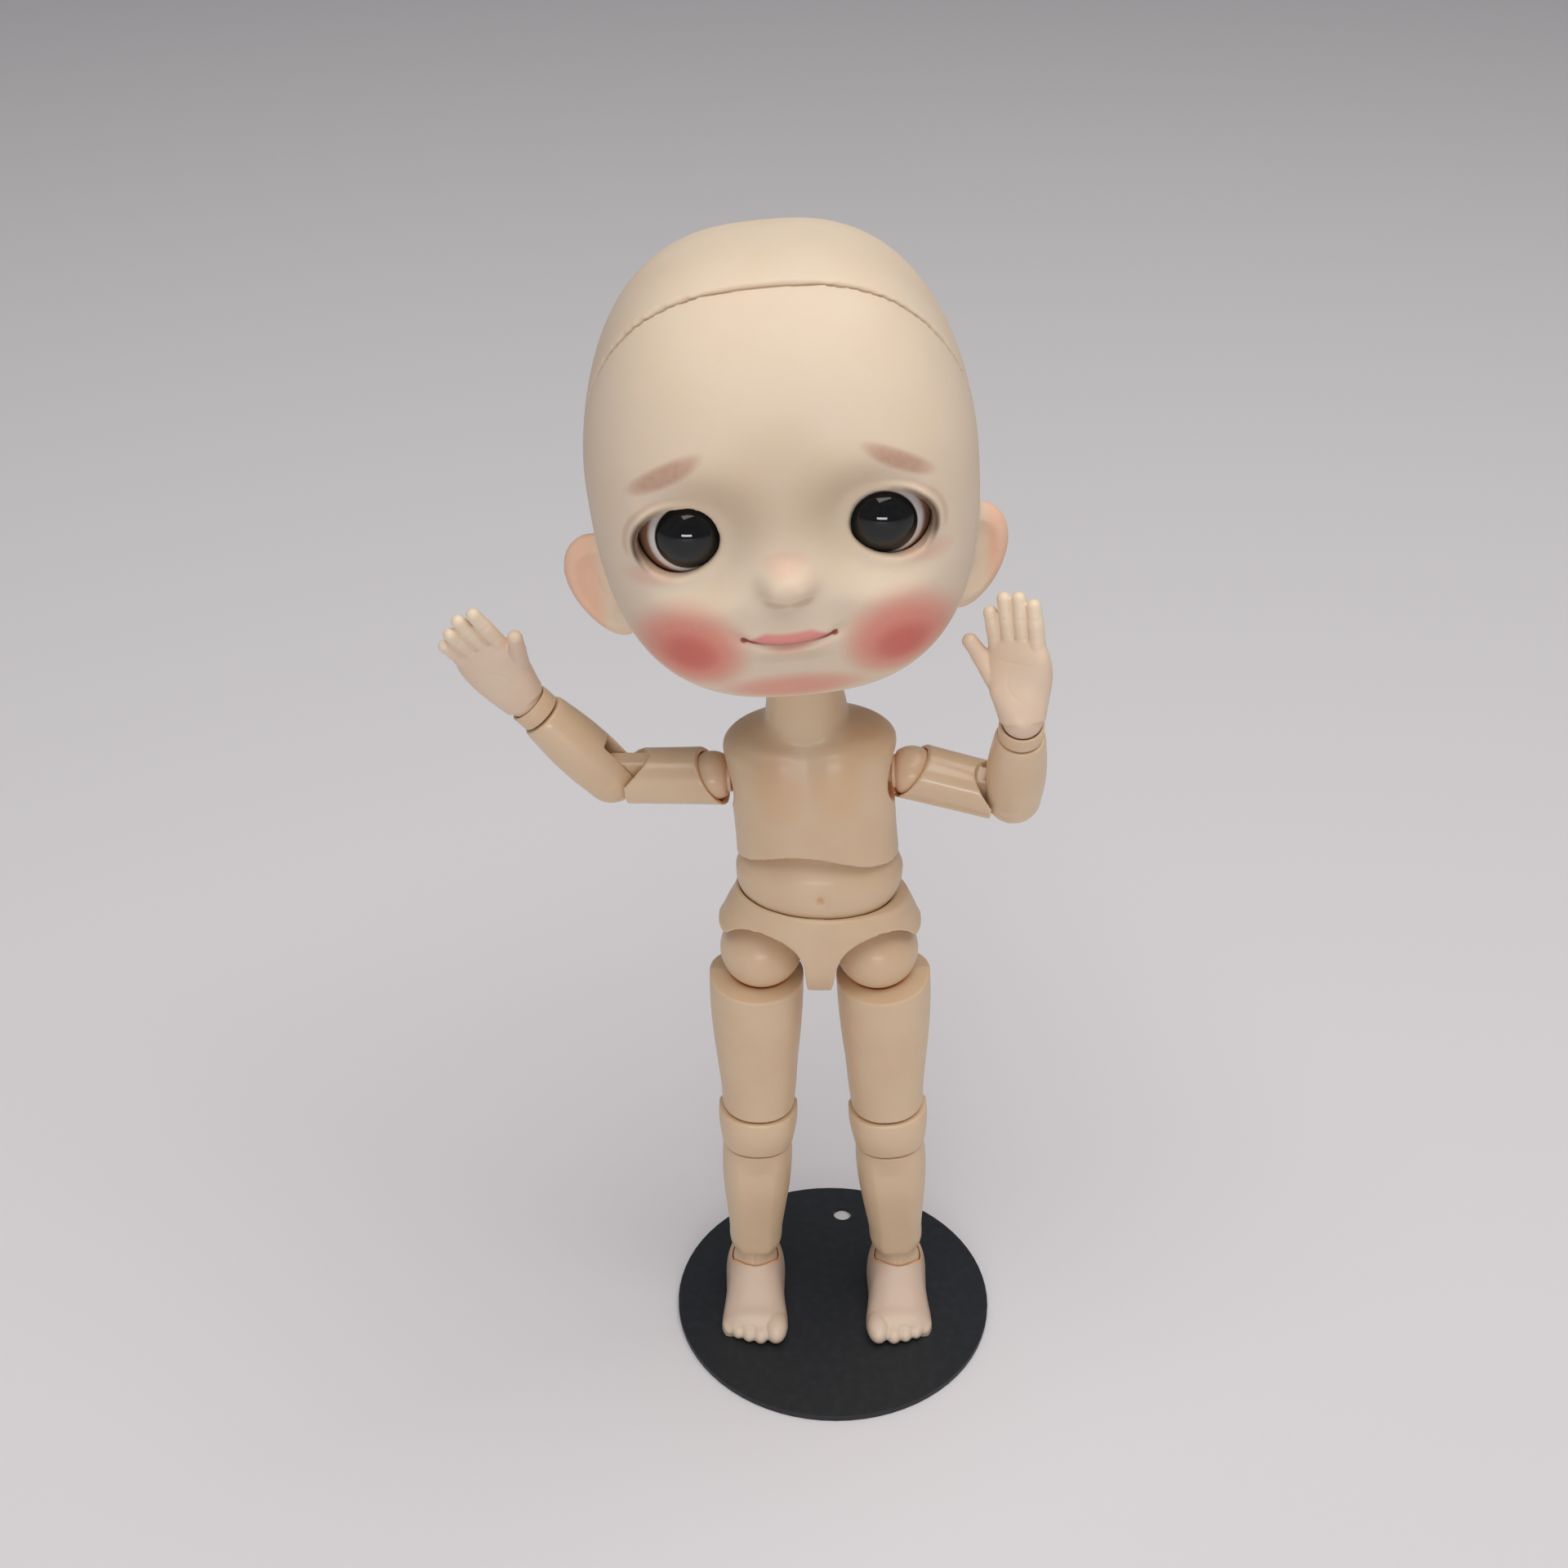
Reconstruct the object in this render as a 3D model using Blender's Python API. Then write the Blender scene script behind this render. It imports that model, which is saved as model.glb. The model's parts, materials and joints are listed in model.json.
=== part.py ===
"""Ball jointed doll, about 141 mm tall, built from separate moving pieces.

Every length is in metres and has one named value. The doll faces -Y and stands on z = 0.
Right and left are the doll's own, so its right side is at -X.
Each moving body is an empty on its joint, and its pieces are parented to that empty.
"""
import math

import bmesh
import bpy
from mathutils import Matrix, Vector

RIGHT = -1
LEFT = 1

# Clearances between pieces
SEAM_GAP = 0.0003
BALL_GAP = 0.00025
PIN_GAP = 0.00008
MAGNET_GAP = 0.0001
OVERRUN = 0.004
MERGE = 0.000001
CREASE = math.radians(35)

# Where the pieces stand in the photographed pose
CENTRE_X = -0.010118
CENTRE_Y = 0.000061
HIP_RIGHT_X = -0.0080
HIP_LEFT_X = 0.0057
ANKLE_RIGHT_X = -0.00905
ANKLE_LEFT_X = 0.0095
ANKLE_HEIGHT = 0.0046
WAIST_RISE = 0.0113
WAIST_SHIFT = -0.0002
CHEST_RISE = 0.0035
CHEST_SHIFT = -0.0003
CHEST_LEAN = math.radians(4.2)
CHEST_YAW = math.radians(-4.0)
HEAD_ROLL = math.radians(5.6)
HEAD_YAW = math.radians(0.8)

# Pelvis
PELVIS_HALF_WIDTH = 0.0119
PELVIS_HALF_DEPTH = 0.0075
PELVIS_DROP = 0.0039
PELVIS_RISE = 0.0098
LEG_ARCH_RADIUS = 0.0070
LEG_ARCH_TOP = 0.0042
LEG_ARCH_OUTWARD = 0.00105
PELVIS_SHARES = (
    (0.00, 0.72, 0.52, 0.0, 0.10),
    (0.10, 0.90, 0.78, 0.0, 0.10),
    (0.28, 0.99, 0.97, 0.0, 0.09),
    (0.45, 1.00, 1.00, 0.0, 0.06),
    (0.66, 0.985, 0.98, 0.0, 0.03),
    (0.84, 0.93, 0.95, 0.0, 0.01),
    (1.00, 0.88, 0.93, 0.0, 0.0),
)

# Belly: turned about X below the waist pin line, drawn in above it
BELLY_HALF_WIDTH = 0.0096
BELLY_RADIUS = 0.0068
BELLY_RISE = 0.0074
BELLY_FLOOR = math.radians(84)
BELLY_SHARES = (
    (0.00, 1.00, 1.00),
    (0.12, 0.97, 0.985),
    (0.26, 0.90, 0.93),
    (0.46, 0.80, 0.85),
    (0.70, 0.65, 0.68),
    (0.88, 0.42, 0.44),
    (1.00, 0.18, 0.18),
)
NAVEL_RADIUS = 0.0006
NAVEL_DEPTH = 0.0005

# Chest with the neck
CHEST_HALF_WIDTH = 0.0094
CHEST_HALF_DEPTH = 0.0070
CHEST_DROP = 0.0012
NECK_PIVOT_HEIGHT = 0.0281
NECK_TOP_DROP = 0.0028
NECK_FORWARD = 0.0006
CHEST_ARCH_RISE = 0.0024
CHEST_ARCH_RADIUS = 0.0098
CHEST_SHARES = (
    (0.000, 0.985, 0.95, 0.0, 0.0),
    (0.120, 0.975, 1.00, 0.0, 0.0),
    (0.260, 0.975, 1.02, 0.0, -0.01),
    (0.400, 1.00, 1.00, 0.0, 0.0),
    (0.520, 1.02, 0.94, 0.0, 0.02),
    (0.585, 0.97, 0.86, 0.0, 0.02),
    (0.625, 0.84, 0.78, 0.0, 0.01),
    (0.655, 0.66, 0.71, 0.0, -0.02),
    (0.695, 0.52, 0.66, 0.0, -0.05),
    (0.760, 0.470, 0.630, 0.0, -0.07),
    (0.880, 0.440, 0.590, 0.0, -0.085),
    (1.000, 0.410, 0.550, 0.0, -0.085),
)
CHEST_ROOM_POWER = 2.4

# Neck ball and cup
NECK_BALL_RADIUS = 0.0032
NECK_STEM_RADIUS = 0.0015
NECK_STEM_DEPTH = 0.0040
NECK_CUP_WALL = 0.00145
NECK_CUP_SKIRT = 0.0016
NECK_FLARE = math.radians(64)

# Head
HEAD_HALF_WIDTH = 0.0200
HEAD_HALF_DEPTH = 0.0203
HEAD_CROWN_HEIGHT = 0.0222
HEAD_JAW_HEIGHT = 0.0250
HEAD_CENTRE_RISE = 0.0226
HEAD_BACK = 0.0012
HEAD_PIVOT_RISE = 0.0020
HEAD_ROUND_POWER = 2.66
HEAD_CROWN_POWER = 1.87
HEAD_JAW_POWER = 2.62
HEAD_WALL = 0.0028
HEAD_FLOOR = 0.0045
CAP_SEAM_SET = 0.0108
CAP_SEAM_DROP = 0.0019
CAP_SLOPE = math.radians(67)
CAP_MAGNET_RADIUS = 0.0008
CAP_MAGNET_DEPTH = 0.0011
CAP_MAGNET_ANGLE = math.radians(52)
CAP_MAGNET_SET_SHARE = 0.5

# Face
EYE_RADIUS = 0.0052
EYE_SPREAD_SHARE = 0.475
EYE_HEIGHT = 0.0211
EYE_SET = 0.0079
EYE_OPEN_HALF_WIDTH = 0.0045
EYE_OPEN_HALF_HEIGHT = 0.0032
EYE_OPEN_TILT = math.radians(20)
PUTTY_RADIUS = 0.0062
PUTTY_FRONT = 0.0012
PUTTY_LENGTH = 0.0028
EAR_SET = 0.0012
EAR_HEIGHT = 0.0093
EAR_FORWARD = 0.0012
EAR_HALF_WIDTH = 0.0037
EAR_HALF_DEPTH = 0.0019
EAR_HALF_HEIGHT = 0.0063
EAR_TILT = math.radians(16)
EAR_BOWL_SHARE = 0.62
EAR_BOWL_OUT_SHARE = 0.30
EAR_BOWL_FORWARD_SHARE = 0.95
NOSE_HEIGHT = 0.0174
NOSE_OUT = 0.0021
NOSE_WIDTH = 0.0019
NOSE_TALL = 0.0017
MOUTH_HEIGHT = 0.0108
MOUTH_OUT = 0.0007
MOUTH_WIDTH = 0.0046
MOUTH_TALL = 0.0030
SMILE_DEPTH = 0.0005
SMILE_LIFT = 0.0007
SMILE_TALL = 0.0006
CHEEK_OUT = 0.0008
CHEEK_SPREAD = 0.0108
CHEEK_HEIGHT = 0.0090
CHEEK_SIZE = 0.0045
BROW_IN = 0.0007
BROW_SIZE = 0.0042
FACE_FADE_SHARE = 1.6

# Shoulders and arms
SHOULDER_HALF_SPAN = 0.0112
SHOULDER_RISE = 0.0095
SHOULDER_BALL_RADIUS = 0.0028
SHOULDER_DISC_RADIUS = 0.0029
SHOULDER_DISC_OUT = 0.0018
SHOULDER_DISC_THICKNESS = 0.0004
SHOULDER_STEM_RADIUS = 0.0012
SHOULDER_STEM_LENGTH = 0.0062
SHOULDER_CONE_END = math.radians(35)
ARM_LENGTH = 0.0116
ARM_HALF_WIDTH = 0.00325
ARM_HALF_DEPTH = 0.0031
ARM_END_BACK = 0.0016
ARM_END_SLOPE = math.radians(27)
ARM_SHARES = (
    (0.00, 1.02, 1.04, 0.0, 0.0),
    (0.20, 1.02, 1.04, 0.0, 0.0),
    (0.50, 0.99, 1.02, 0.0, 0.0),
    (0.80, 0.97, 1.00, 0.0, 0.0),
    (1.00, 0.96, 1.00, 0.0, 0.0),
)
ELBOW_RADIUS = 0.0031
ELBOW_RIM_BACK = 0.0019
ELBOW_TONGUE_HALF = 0.0009
ELBOW_TONGUE_RADIUS = 0.0016
ELBOW_PIN_RADIUS = 0.0005
ELBOW_PIN_HALF_LENGTH = 0.0023
ELBOW_MOST_BEND = math.radians(110)
FOREARM_LENGTH = 0.0110
FOREARM_HALF_WIDTH = 0.0032
FOREARM_HALF_DEPTH = 0.0030
FOREARM_SHARES = (
    (0.00, 0.96, 1.00, 0.0, 0.0),
    (0.30, 1.03, 1.03, 0.0, 0.0),
    (0.60, 1.00, 1.02, 0.0, 0.0),
    (0.85, 0.91, 0.95, 0.0, 0.0),
    (0.96, 0.86, 0.91, 0.0, 0.0),
    (1.00, 0.82, 0.87, 0.0, 0.0),
)
RIGHT_ARM_REACH = Vector((-0.0113, 0.0012, -0.0008))
RIGHT_FOREARM_REACH = Vector((-0.0073, -0.0004, 0.0083))
RIGHT_HAND_REACH = Vector((-0.0072, -0.0027, 0.0120))
LEFT_ARM_REACH = Vector((0.0117, -0.0025, -0.0019))
LEFT_FOREARM_REACH = Vector((-0.0002, -0.0040, 0.0101))
LEFT_HAND_REACH = Vector((-0.0014, 0.0040, 0.0135))

# Wrists and hands
WRIST_RADIUS = 0.00245
WRIST_RIM = 0.00215
WRIST_STEM_RADIUS = 0.0011
WRIST_STEM_DEPTH = 0.0032
HAND_BALL_RADIUS = 0.0022
HAND_PIVOT_OUT = 0.0030
PALM_START = 0.0006
PALM_LENGTH = 0.0086
PALM_HALF_WIDTH = 0.0035
PALM_HALF_DEPTH = 0.0015
PALM_SHARES = (
    (0.00, 0.58, 1.10, 0.0, 0.0),
    (0.20, 0.62, 1.08, 0.0, 0.0),
    (0.45, 0.84, 1.02, 0.02, 0.0),
    (0.70, 0.99, 0.96, 0.0, 0.0),
    (0.90, 1.00, 0.84, 0.0, 0.0),
    (1.00, 0.94, 0.66, 0.0, 0.0),
)
FINGER_RADIUS = 0.00080
FINGER_LENGTH = 0.0063
THUMB_RADIUS = 0.0010
THUMB_LENGTH = 0.0056
THUMB_ANGLE = math.radians(33)
THUMB_LIFT = math.radians(8)
THUMB_ROOT_SHARE = 1.1
FINGER_TAPER_SHARES = ((0.0, 1.0), (0.45, 0.96), (0.84, 0.88), (0.96, 0.58))
FINGER_SHARES = (
    (-0.75, 0.74, -9.0),
    (-0.26, 0.92, -3.5),
    (0.24, 1.00, 0.5),
    (0.73, 0.90, 5.0),
)

# Legs
HIP_BALL_RADIUS = 0.00485
THIGH_HALF_WIDTH = 0.0057
THIGH_HALF_DEPTH = 0.0057
THIGH_LENGTH = 0.0241
THIGH_CROWN = 0.0003
THIGH_RIM_FRONT = math.radians(38)
THIGH_RIM_BACK = math.radians(33)
THIGH_SHARES = (
    (0.00, 0.96, 1.00, 0.09, 0.0),
    (0.12, 0.98, 1.00, 0.09, 0.0),
    (0.30, 0.98, 0.99, 0.08, 0.0),
    (0.50, 0.94, 0.95, 0.06, 0.0),
    (0.72, 0.86, 0.88, 0.03, 0.0),
    (0.88, 0.82, 0.83, 0.0, 0.0),
    (1.00, 0.81, 0.82, 0.0, 0.0),
)
KNEE_HALF_WIDTH = 0.0047
KNEE_HALF_DEPTH = 0.0047
KNEE_HEIGHT = 0.0050
KNEE_SHARES = (
    (0.00, 0.98, 0.98, 0.0, 0.0),
    (0.30, 1.02, 1.03, 0.0, -0.01),
    (0.65, 1.00, 1.02, 0.0, -0.01),
    (1.00, 0.94, 0.95, 0.0, 0.0),
)
KNEE_PIN_RADIUS = 0.00055
KNEE_PIN_SET = 0.0014
KNEE_PIN_BACK = 0.0006
KNEE_PIN_HALF_LENGTH = 0.0032
KNEE_TONGUE_HALF = 0.0010
KNEE_TONGUE_RADIUS = 0.0016
LIMB_NOTCH = math.radians(43)
KNEE_NOTCH = math.radians(17)
KNEE_NOTCH_LEAD = 0.0005
SHIN_HALF_WIDTH = 0.0044
SHIN_HALF_DEPTH = 0.0045
SHIN_LENGTH = 0.0185
SHIN_SHARES = (
    (0.00, 0.97, 0.96, 0.0, 0.0),
    (0.18, 1.00, 1.02, 0.0, 0.03),
    (0.38, 0.97, 1.03, 0.0, 0.05),
    (0.62, 0.87, 0.92, 0.0, 0.03),
    (0.85, 0.77, 0.79, 0.0, 0.0),
    (0.96, 0.75, 0.76, 0.0, 0.0),
    (1.00, 0.71, 0.72, 0.0, 0.0),
)
ANKLE_DROP = 0.0024
ANKLE_BALL_RADIUS = 0.0029
ANKLE_NECK_RADIUS = 0.00245
ANKLE_STEM_RADIUS = 0.0012
ANKLE_STEM_DEPTH = 0.0034

# Feet
FOOT_HALF_WIDTH = 0.0041
FOOT_HEEL = 0.0058
FOOT_FRONT = 0.0090
FOOT_COLLAR = 0.0059
FOOT_HEIGHT = 0.0066
FOOT_SHARES = (
    (0.00, 0.30, 0.40),
    (0.03, 0.52, 0.62),
    (0.10, 0.76, 0.86),
    (0.22, 0.92, 1.02),
    (0.42, 0.93, 1.04),
    (0.56, 0.92, 0.90),
    (0.70, 0.97, 0.66),
    (0.84, 1.03, 0.47),
    (0.95, 1.00, 0.38),
    (1.00, 0.90, 0.30),
)
TOE_REACH = 0.0116
TOE_LONG_SHARE = 1.6
TOE_TALL_SHARE = 0.98
TOE_RISE_SHARE = 0.75
BIG_TOE_RADIUS = 0.00135
TOE_SHARES = (
    (0.66, 1.00, 1.00),
    (0.19, 0.78, 0.99),
    (-0.17, 0.74, 0.96),
    (-0.50, 0.70, 0.91),
    (-0.79, 0.66, 0.85),
)
SOLE_MAGNET_RADIUS = 0.0020
SOLE_MAGNET_DEPTH = 0.0010
SOLE_MAGNET_FORWARD = 0.0056

# How finely round pieces are cut
ROUND = 14
FINE_ROUND = 16
SMALL_ROUND = 8
ARCH_ROUND = 20
TORSO_ROUND = 18
HAND_ROUND = 10
FINGER_ROUND = 6
TOE_ROUND = 8
HEAD_AROUND = 34
HEAD_LEVELS = 22
CAP_AROUND = 24
CAP_LEVELS = 13
ROOM_AROUND = 16
ROOM_LEVELS = 10
EAR_ROUND = 12
EAR_BOWL_ROUND = 8

SKIN = (0.690, 0.500, 0.330)
FACE = (0.760, 0.600, 0.455)
PALE = (0.780, 0.610, 0.520)
JOINT = (0.640, 0.380, 0.200)
STEEL = (0.550, 0.560, 0.580)
BLACK = (0.010, 0.009, 0.009)
PUTTY = (0.420, 0.180, 0.060)


def clear_scene():
    """Removes what the scene starts with."""
    for obj in list(bpy.data.objects):
        bpy.data.objects.remove(obj, do_unlink=True)


def mesh_object(name, points, faces):
    """Makes an object with a closed mesh whose faces look outwards."""
    mesh = bpy.data.meshes.new(name)
    mesh.from_pydata([tuple(p) for p in points], [], faces)
    work = bmesh.new()
    work.from_mesh(mesh)
    bmesh.ops.recalc_face_normals(work, faces=work.faces)
    work.to_mesh(mesh)
    work.free()
    obj = bpy.data.objects.new(name, mesh)
    bpy.context.collection.objects.link(obj)
    return obj


def skin_rings(name, rings):
    """Joins rings of points, each with as many points, and closes both ends."""
    count = len(rings[0])
    points = [p for ring in rings for p in ring]
    faces = []
    for low in range(len(rings) - 1):
        for i in range(count):
            j = (i + 1) % count
            faces.append((low * count + i, low * count + j, (low + 1) * count + j, (low + 1) * count + i))
    faces.append(tuple(range(count)))
    faces.append(tuple(range((len(rings) - 1) * count, len(rings) * count)))
    return mesh_object(name, points, faces)


def oval(height, half_width, half_depth, shift_x, shift_y, count, power):
    """One level ring: an ellipse, squarer where power is over 2."""
    ring = []
    for i in range(count):
        turn = 2 * math.pi * i / count
        c, s = math.cos(turn), math.sin(turn)
        x = math.copysign(abs(c) ** (2 / power), c) * half_width
        y = math.copysign(abs(s) ** (2 / power), s) * half_depth
        ring.append(Vector((x + shift_x, y + shift_y, height)))
    return ring


def limb(name, start, end, half_width, half_depth, shares, count=ROUND, power=2.2, side=1):
    """Lofts along Z: shares hold place, width, depth, outward shift and backward shift."""
    rings = []
    for along, wide, deep, out, back in shares:
        rings.append(
            oval(
                start + (end - start) * along,
                half_width * wide,
                half_depth * deep,
                half_width * out * side,
                half_depth * back,
                count,
                power,
            )
        )
    return skin_rings(name, rings)


def turned(name, profile, count=ROUND):
    """Turns (radius, height) points about Z; the first and last lie on the axis."""
    points = [Vector((0, 0, profile[0][1]))]
    rings = profile[1:-1]
    for radius, height in rings:
        for i in range(count):
            turn = 2 * math.pi * i / count
            points.append(Vector((radius * math.cos(turn), radius * math.sin(turn), height)))
    points.append(Vector((0, 0, profile[-1][1])))
    last = len(points) - 1
    faces = []
    for i in range(count):
        j = (i + 1) % count
        faces.append((0, 1 + i, 1 + j))
        for low in range(len(rings) - 1):
            a = 1 + low * count
            faces.append((a + i, a + count + i, a + count + j, a + j))
        a = 1 + (len(rings) - 1) * count
        faces.append((a + i, last, a + j))
    return mesh_object(name, points, faces)


def arc(radius, centre, low, high, steps):
    """Points (radius, height) on a circle about (0, centre), angles from the level line."""
    result = []
    for i in range(steps + 1):
        angle = low + (high - low) * i / steps
        result.append((radius * math.cos(angle), centre + radius * math.sin(angle)))
    return result


def ball(name, radius, centre=(0, 0, 0), count=ROUND):
    """A ball whose poles are up and down."""
    quarter = math.pi / 2
    steps = count // 2
    inner = arc(radius, 0, -quarter, quarter, steps)[1:-1]
    obj = turned(name, [(0, -radius)] + inner + [(0, radius)], count)
    obj.data.transform(Matrix.Translation(Vector(centre)))
    return obj


def rod(name, radius, start, end, count=ROUND):
    """A round bar from start to end."""
    start, end = Vector(start), Vector(end)
    length = (end - start).length
    obj = turned(name, [(0, 0), (radius, 0), (radius, length), (0, length)], count)
    turn = (end - start).to_track_quat("Z", "Y").to_matrix().to_4x4()
    obj.data.transform(Matrix.Translation(start) @ turn)
    return obj


def block(name, low, high):
    """A box between two corners."""
    xs, ys, zs = zip(low, high)
    points = [Vector((x, y, z)) for z in zs for y in ys for x in xs]
    faces = [(0, 1, 3, 2), (4, 6, 7, 5), (0, 4, 5, 1), (2, 3, 7, 6), (0, 2, 6, 4), (1, 5, 7, 3)]
    return mesh_object(name, points, faces)


def prism(name, outline, low, high, axis="X"):
    """Pushes an outline through from low to high along X or along Y."""
    points = []
    for reach in (low, high):
        for a, b in outline:
            points.append(Vector((reach, a, b)) if axis == "X" else Vector((a, reach, b)))
    count = len(outline)
    faces = [tuple(range(count)), tuple(range(count, 2 * count))]
    for i in range(count):
        j = (i + 1) % count
        faces.append((i, j, count + j, count + i))
    return mesh_object(name, points, faces)


def combine(target, other, operation):
    """Adds, cuts or keeps what other covers, and removes other."""
    modifier = target.modifiers.new(operation, "BOOLEAN")
    modifier.operation = operation
    modifier.solver = "EXACT"
    modifier.object = other
    graph = bpy.context.evaluated_depsgraph_get()
    mesh = bpy.data.meshes.new_from_object(target.evaluated_get(graph))
    target.modifiers.clear()
    target.data = mesh
    bpy.data.objects.remove(other, do_unlink=True)
    return target


def cut(target, other):
    return combine(target, other, "DIFFERENCE")


def add(target, other):
    return combine(target, other, "UNION")


def keep(target, other):
    return combine(target, other, "INTERSECT")


def body(name, parent, place, turn=None):
    """An empty on a joint; what it carries is parented to it."""
    empty = bpy.data.objects.new(name, None)
    empty.empty_display_size = SEAM_GAP
    bpy.context.collection.objects.link(empty)
    empty.parent = parent
    rotation = turn if turn is not None else Matrix.Identity(3)
    empty.matrix_local = Matrix.Translation(Vector(place)) @ rotation.to_4x4()
    return empty


def piece(obj, carrier, colour, roughness=0.45, metallic=0.0, origin=(0, 0, 0), smooth=True):
    """Finishes a piece: cleans it, moves its mesh to the joint and gives it a material."""
    work = bmesh.new()
    work.from_mesh(obj.data)
    bmesh.ops.remove_doubles(work, verts=work.verts, dist=MERGE)
    bmesh.ops.dissolve_degenerate(work, edges=work.edges, dist=MERGE)
    bmesh.ops.recalc_face_normals(work, faces=work.faces)
    for face in work.faces:
        face.smooth = smooth
    for edge in work.edges:
        edge.smooth = not (len(edge.link_faces) == 2 and edge.calc_face_angle() > CREASE)
    work.to_mesh(obj.data)
    work.free()
    obj.data.transform(Matrix.Translation(-Vector(origin)))
    obj.parent = carrier
    material = bpy.data.materials.new(obj.name)
    material.use_nodes = True
    shader = material.node_tree.nodes["Principled BSDF"]
    shader.inputs["Base Color"].default_value = (*colour, 1)
    shader.inputs["Roughness"].default_value = roughness
    shader.inputs["Metallic"].default_value = metallic
    obj.data.materials.clear()
    obj.data.materials.append(material)
    return obj


def side_name(side):
    return "right" if side == RIGHT else "left"


# Pelvis and belly


def make_pelvis(carrier):
    half_span = (HIP_LEFT_X - HIP_RIGHT_X) / 2
    pelvis = limb(
        "pelvis", -PELVIS_DROP, PELVIS_RISE, PELVIS_HALF_WIDTH, PELVIS_HALF_DEPTH, PELVIS_SHARES, TORSO_ROUND + 4, 2.35
    )
    waist = belly_form("belly_seat", SEAM_GAP)
    waist.data.transform(Matrix.Translation((WAIST_SHIFT, 0, WAIST_RISE)))
    cut(pelvis, waist)
    reach = PELVIS_HALF_DEPTH + OVERRUN
    low = -PELVIS_DROP - OVERRUN
    for side in (RIGHT, LEFT):
        hip = side * half_span
        middle = hip + side * LEG_ARCH_OUTWARD
        outer = side * (PELVIS_HALF_WIDTH + OVERRUN)
        crown = []
        for across, height in arc(LEG_ARCH_RADIUS, LEG_ARCH_TOP - LEG_ARCH_RADIUS, math.pi, math.pi / 2, 6):
            crown.append((middle + side * across, height))
        outline = [(crown[0][0], low)] + crown + [(outer, LEG_ARCH_TOP), (outer, low)]
        cut(pelvis, prism("arch", outline, -reach, reach, "Y"))
        cut(pelvis, ball("hip_seat", HIP_BALL_RADIUS + BALL_GAP, (hip, 0, 0), ROUND))
    return piece(pelvis, carrier, SKIN)


def belly_form(name, grow, power=2):
    """Below its middle the belly is an oval turned about X, so that the waist can bend on it."""
    wide, radius = BELLY_HALF_WIDTH + grow, BELLY_RADIUS + grow
    rings = []
    for reach, depth in arc(radius, 0, -BELLY_FLOOR, 0, 9)[:-1]:
        rings.append(oval(depth, wide * reach / radius, reach, 0, 0, FINE_ROUND, power))
    for along, wide_share, deep_share in BELLY_SHARES:
        height = (BELLY_RISE + grow) * along
        rings.append(oval(height, wide * wide_share, radius * deep_share, 0, 0, FINE_ROUND, power))
    return skin_rings(name, rings)


def make_belly(carrier):
    belly = belly_form("belly", 0)
    reach = BELLY_RADIUS + OVERRUN
    cut(belly, rod("navel", NAVEL_RADIUS, (0, -reach, 0), (0, NAVEL_DEPTH - BELLY_RADIUS, 0), SMALL_ROUND))
    return piece(belly, carrier, SKIN)


# Chest, neck and shoulders


def make_chest(carrier):
    top = NECK_PIVOT_HEIGHT - NECK_TOP_DROP
    chest = limb("chest", -CHEST_DROP, top, CHEST_HALF_WIDTH, CHEST_HALF_DEPTH, CHEST_SHARES, TORSO_ROUND, 2.2)
    reach = CHEST_HALF_WIDTH + OVERRUN
    centre = -CHEST_DROP + CHEST_ARCH_RISE - CHEST_ARCH_RADIUS
    arch = rod("arch", CHEST_ARCH_RADIUS, (0, -reach, centre), (0, -SEAM_GAP, centre), ARCH_ROUND)
    cut(chest, arch)
    # The room is squarer than the belly in it, so that the chest can turn both ways.
    room = belly_form("room", SEAM_GAP, CHEST_ROOM_POWER)
    room.data.transform(carrier.matrix_local.inverted())
    cut(chest, room)
    for side in (RIGHT, LEFT):
        seat = SHOULDER_DISC_RADIUS + BALL_GAP
        middle = (side * SHOULDER_HALF_SPAN, 0, SHOULDER_RISE)
        rim = math.hypot(ARM_HALF_WIDTH, ARM_END_BACK) + SEAM_GAP
        cut(chest, ball("socket", max(rim, seat), middle, ROUND))
        inner = side * (SHOULDER_HALF_SPAN - SHOULDER_STEM_LENGTH - SEAM_GAP)
        bore = SHOULDER_STEM_RADIUS + PIN_GAP
        cut(chest, rod("bore", bore, (inner, 0, SHOULDER_RISE), middle, ROUND))
    bore_low = top - NECK_STEM_DEPTH - SEAM_GAP
    neck_bore = NECK_STEM_RADIUS + PIN_GAP
    cut(chest, rod("neck_bore", neck_bore, (0, -NECK_FORWARD, bore_low), (0, -NECK_FORWARD, top + OVERRUN), ROUND))
    return piece(chest, carrier, SKIN)


def make_neck(ball_carrier, cup_carrier):
    stem_low = -NECK_TOP_DROP - NECK_STEM_DEPTH
    join = -math.acos(NECK_STEM_RADIUS / NECK_BALL_RADIUS)
    profile = [(0, stem_low), (NECK_STEM_RADIUS, stem_low)]
    profile += arc(NECK_BALL_RADIUS, 0, join, math.pi / 2, 7)
    piece(turned("neck_ball", profile), ball_carrier, JOINT)
    inner = NECK_BALL_RADIUS + BALL_GAP
    outer = inner + NECK_CUP_WALL
    profile = [(0, outer)]
    profile += arc(outer, 0, math.pi / 2, -math.asin(NECK_CUP_SKIRT / outer), 7)[1:]
    profile += arc(inner, 0, -math.asin(NECK_CUP_SKIRT / inner), math.pi / 2, 6)
    piece(turned("neck_cup", profile), cup_carrier, JOINT)


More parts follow.
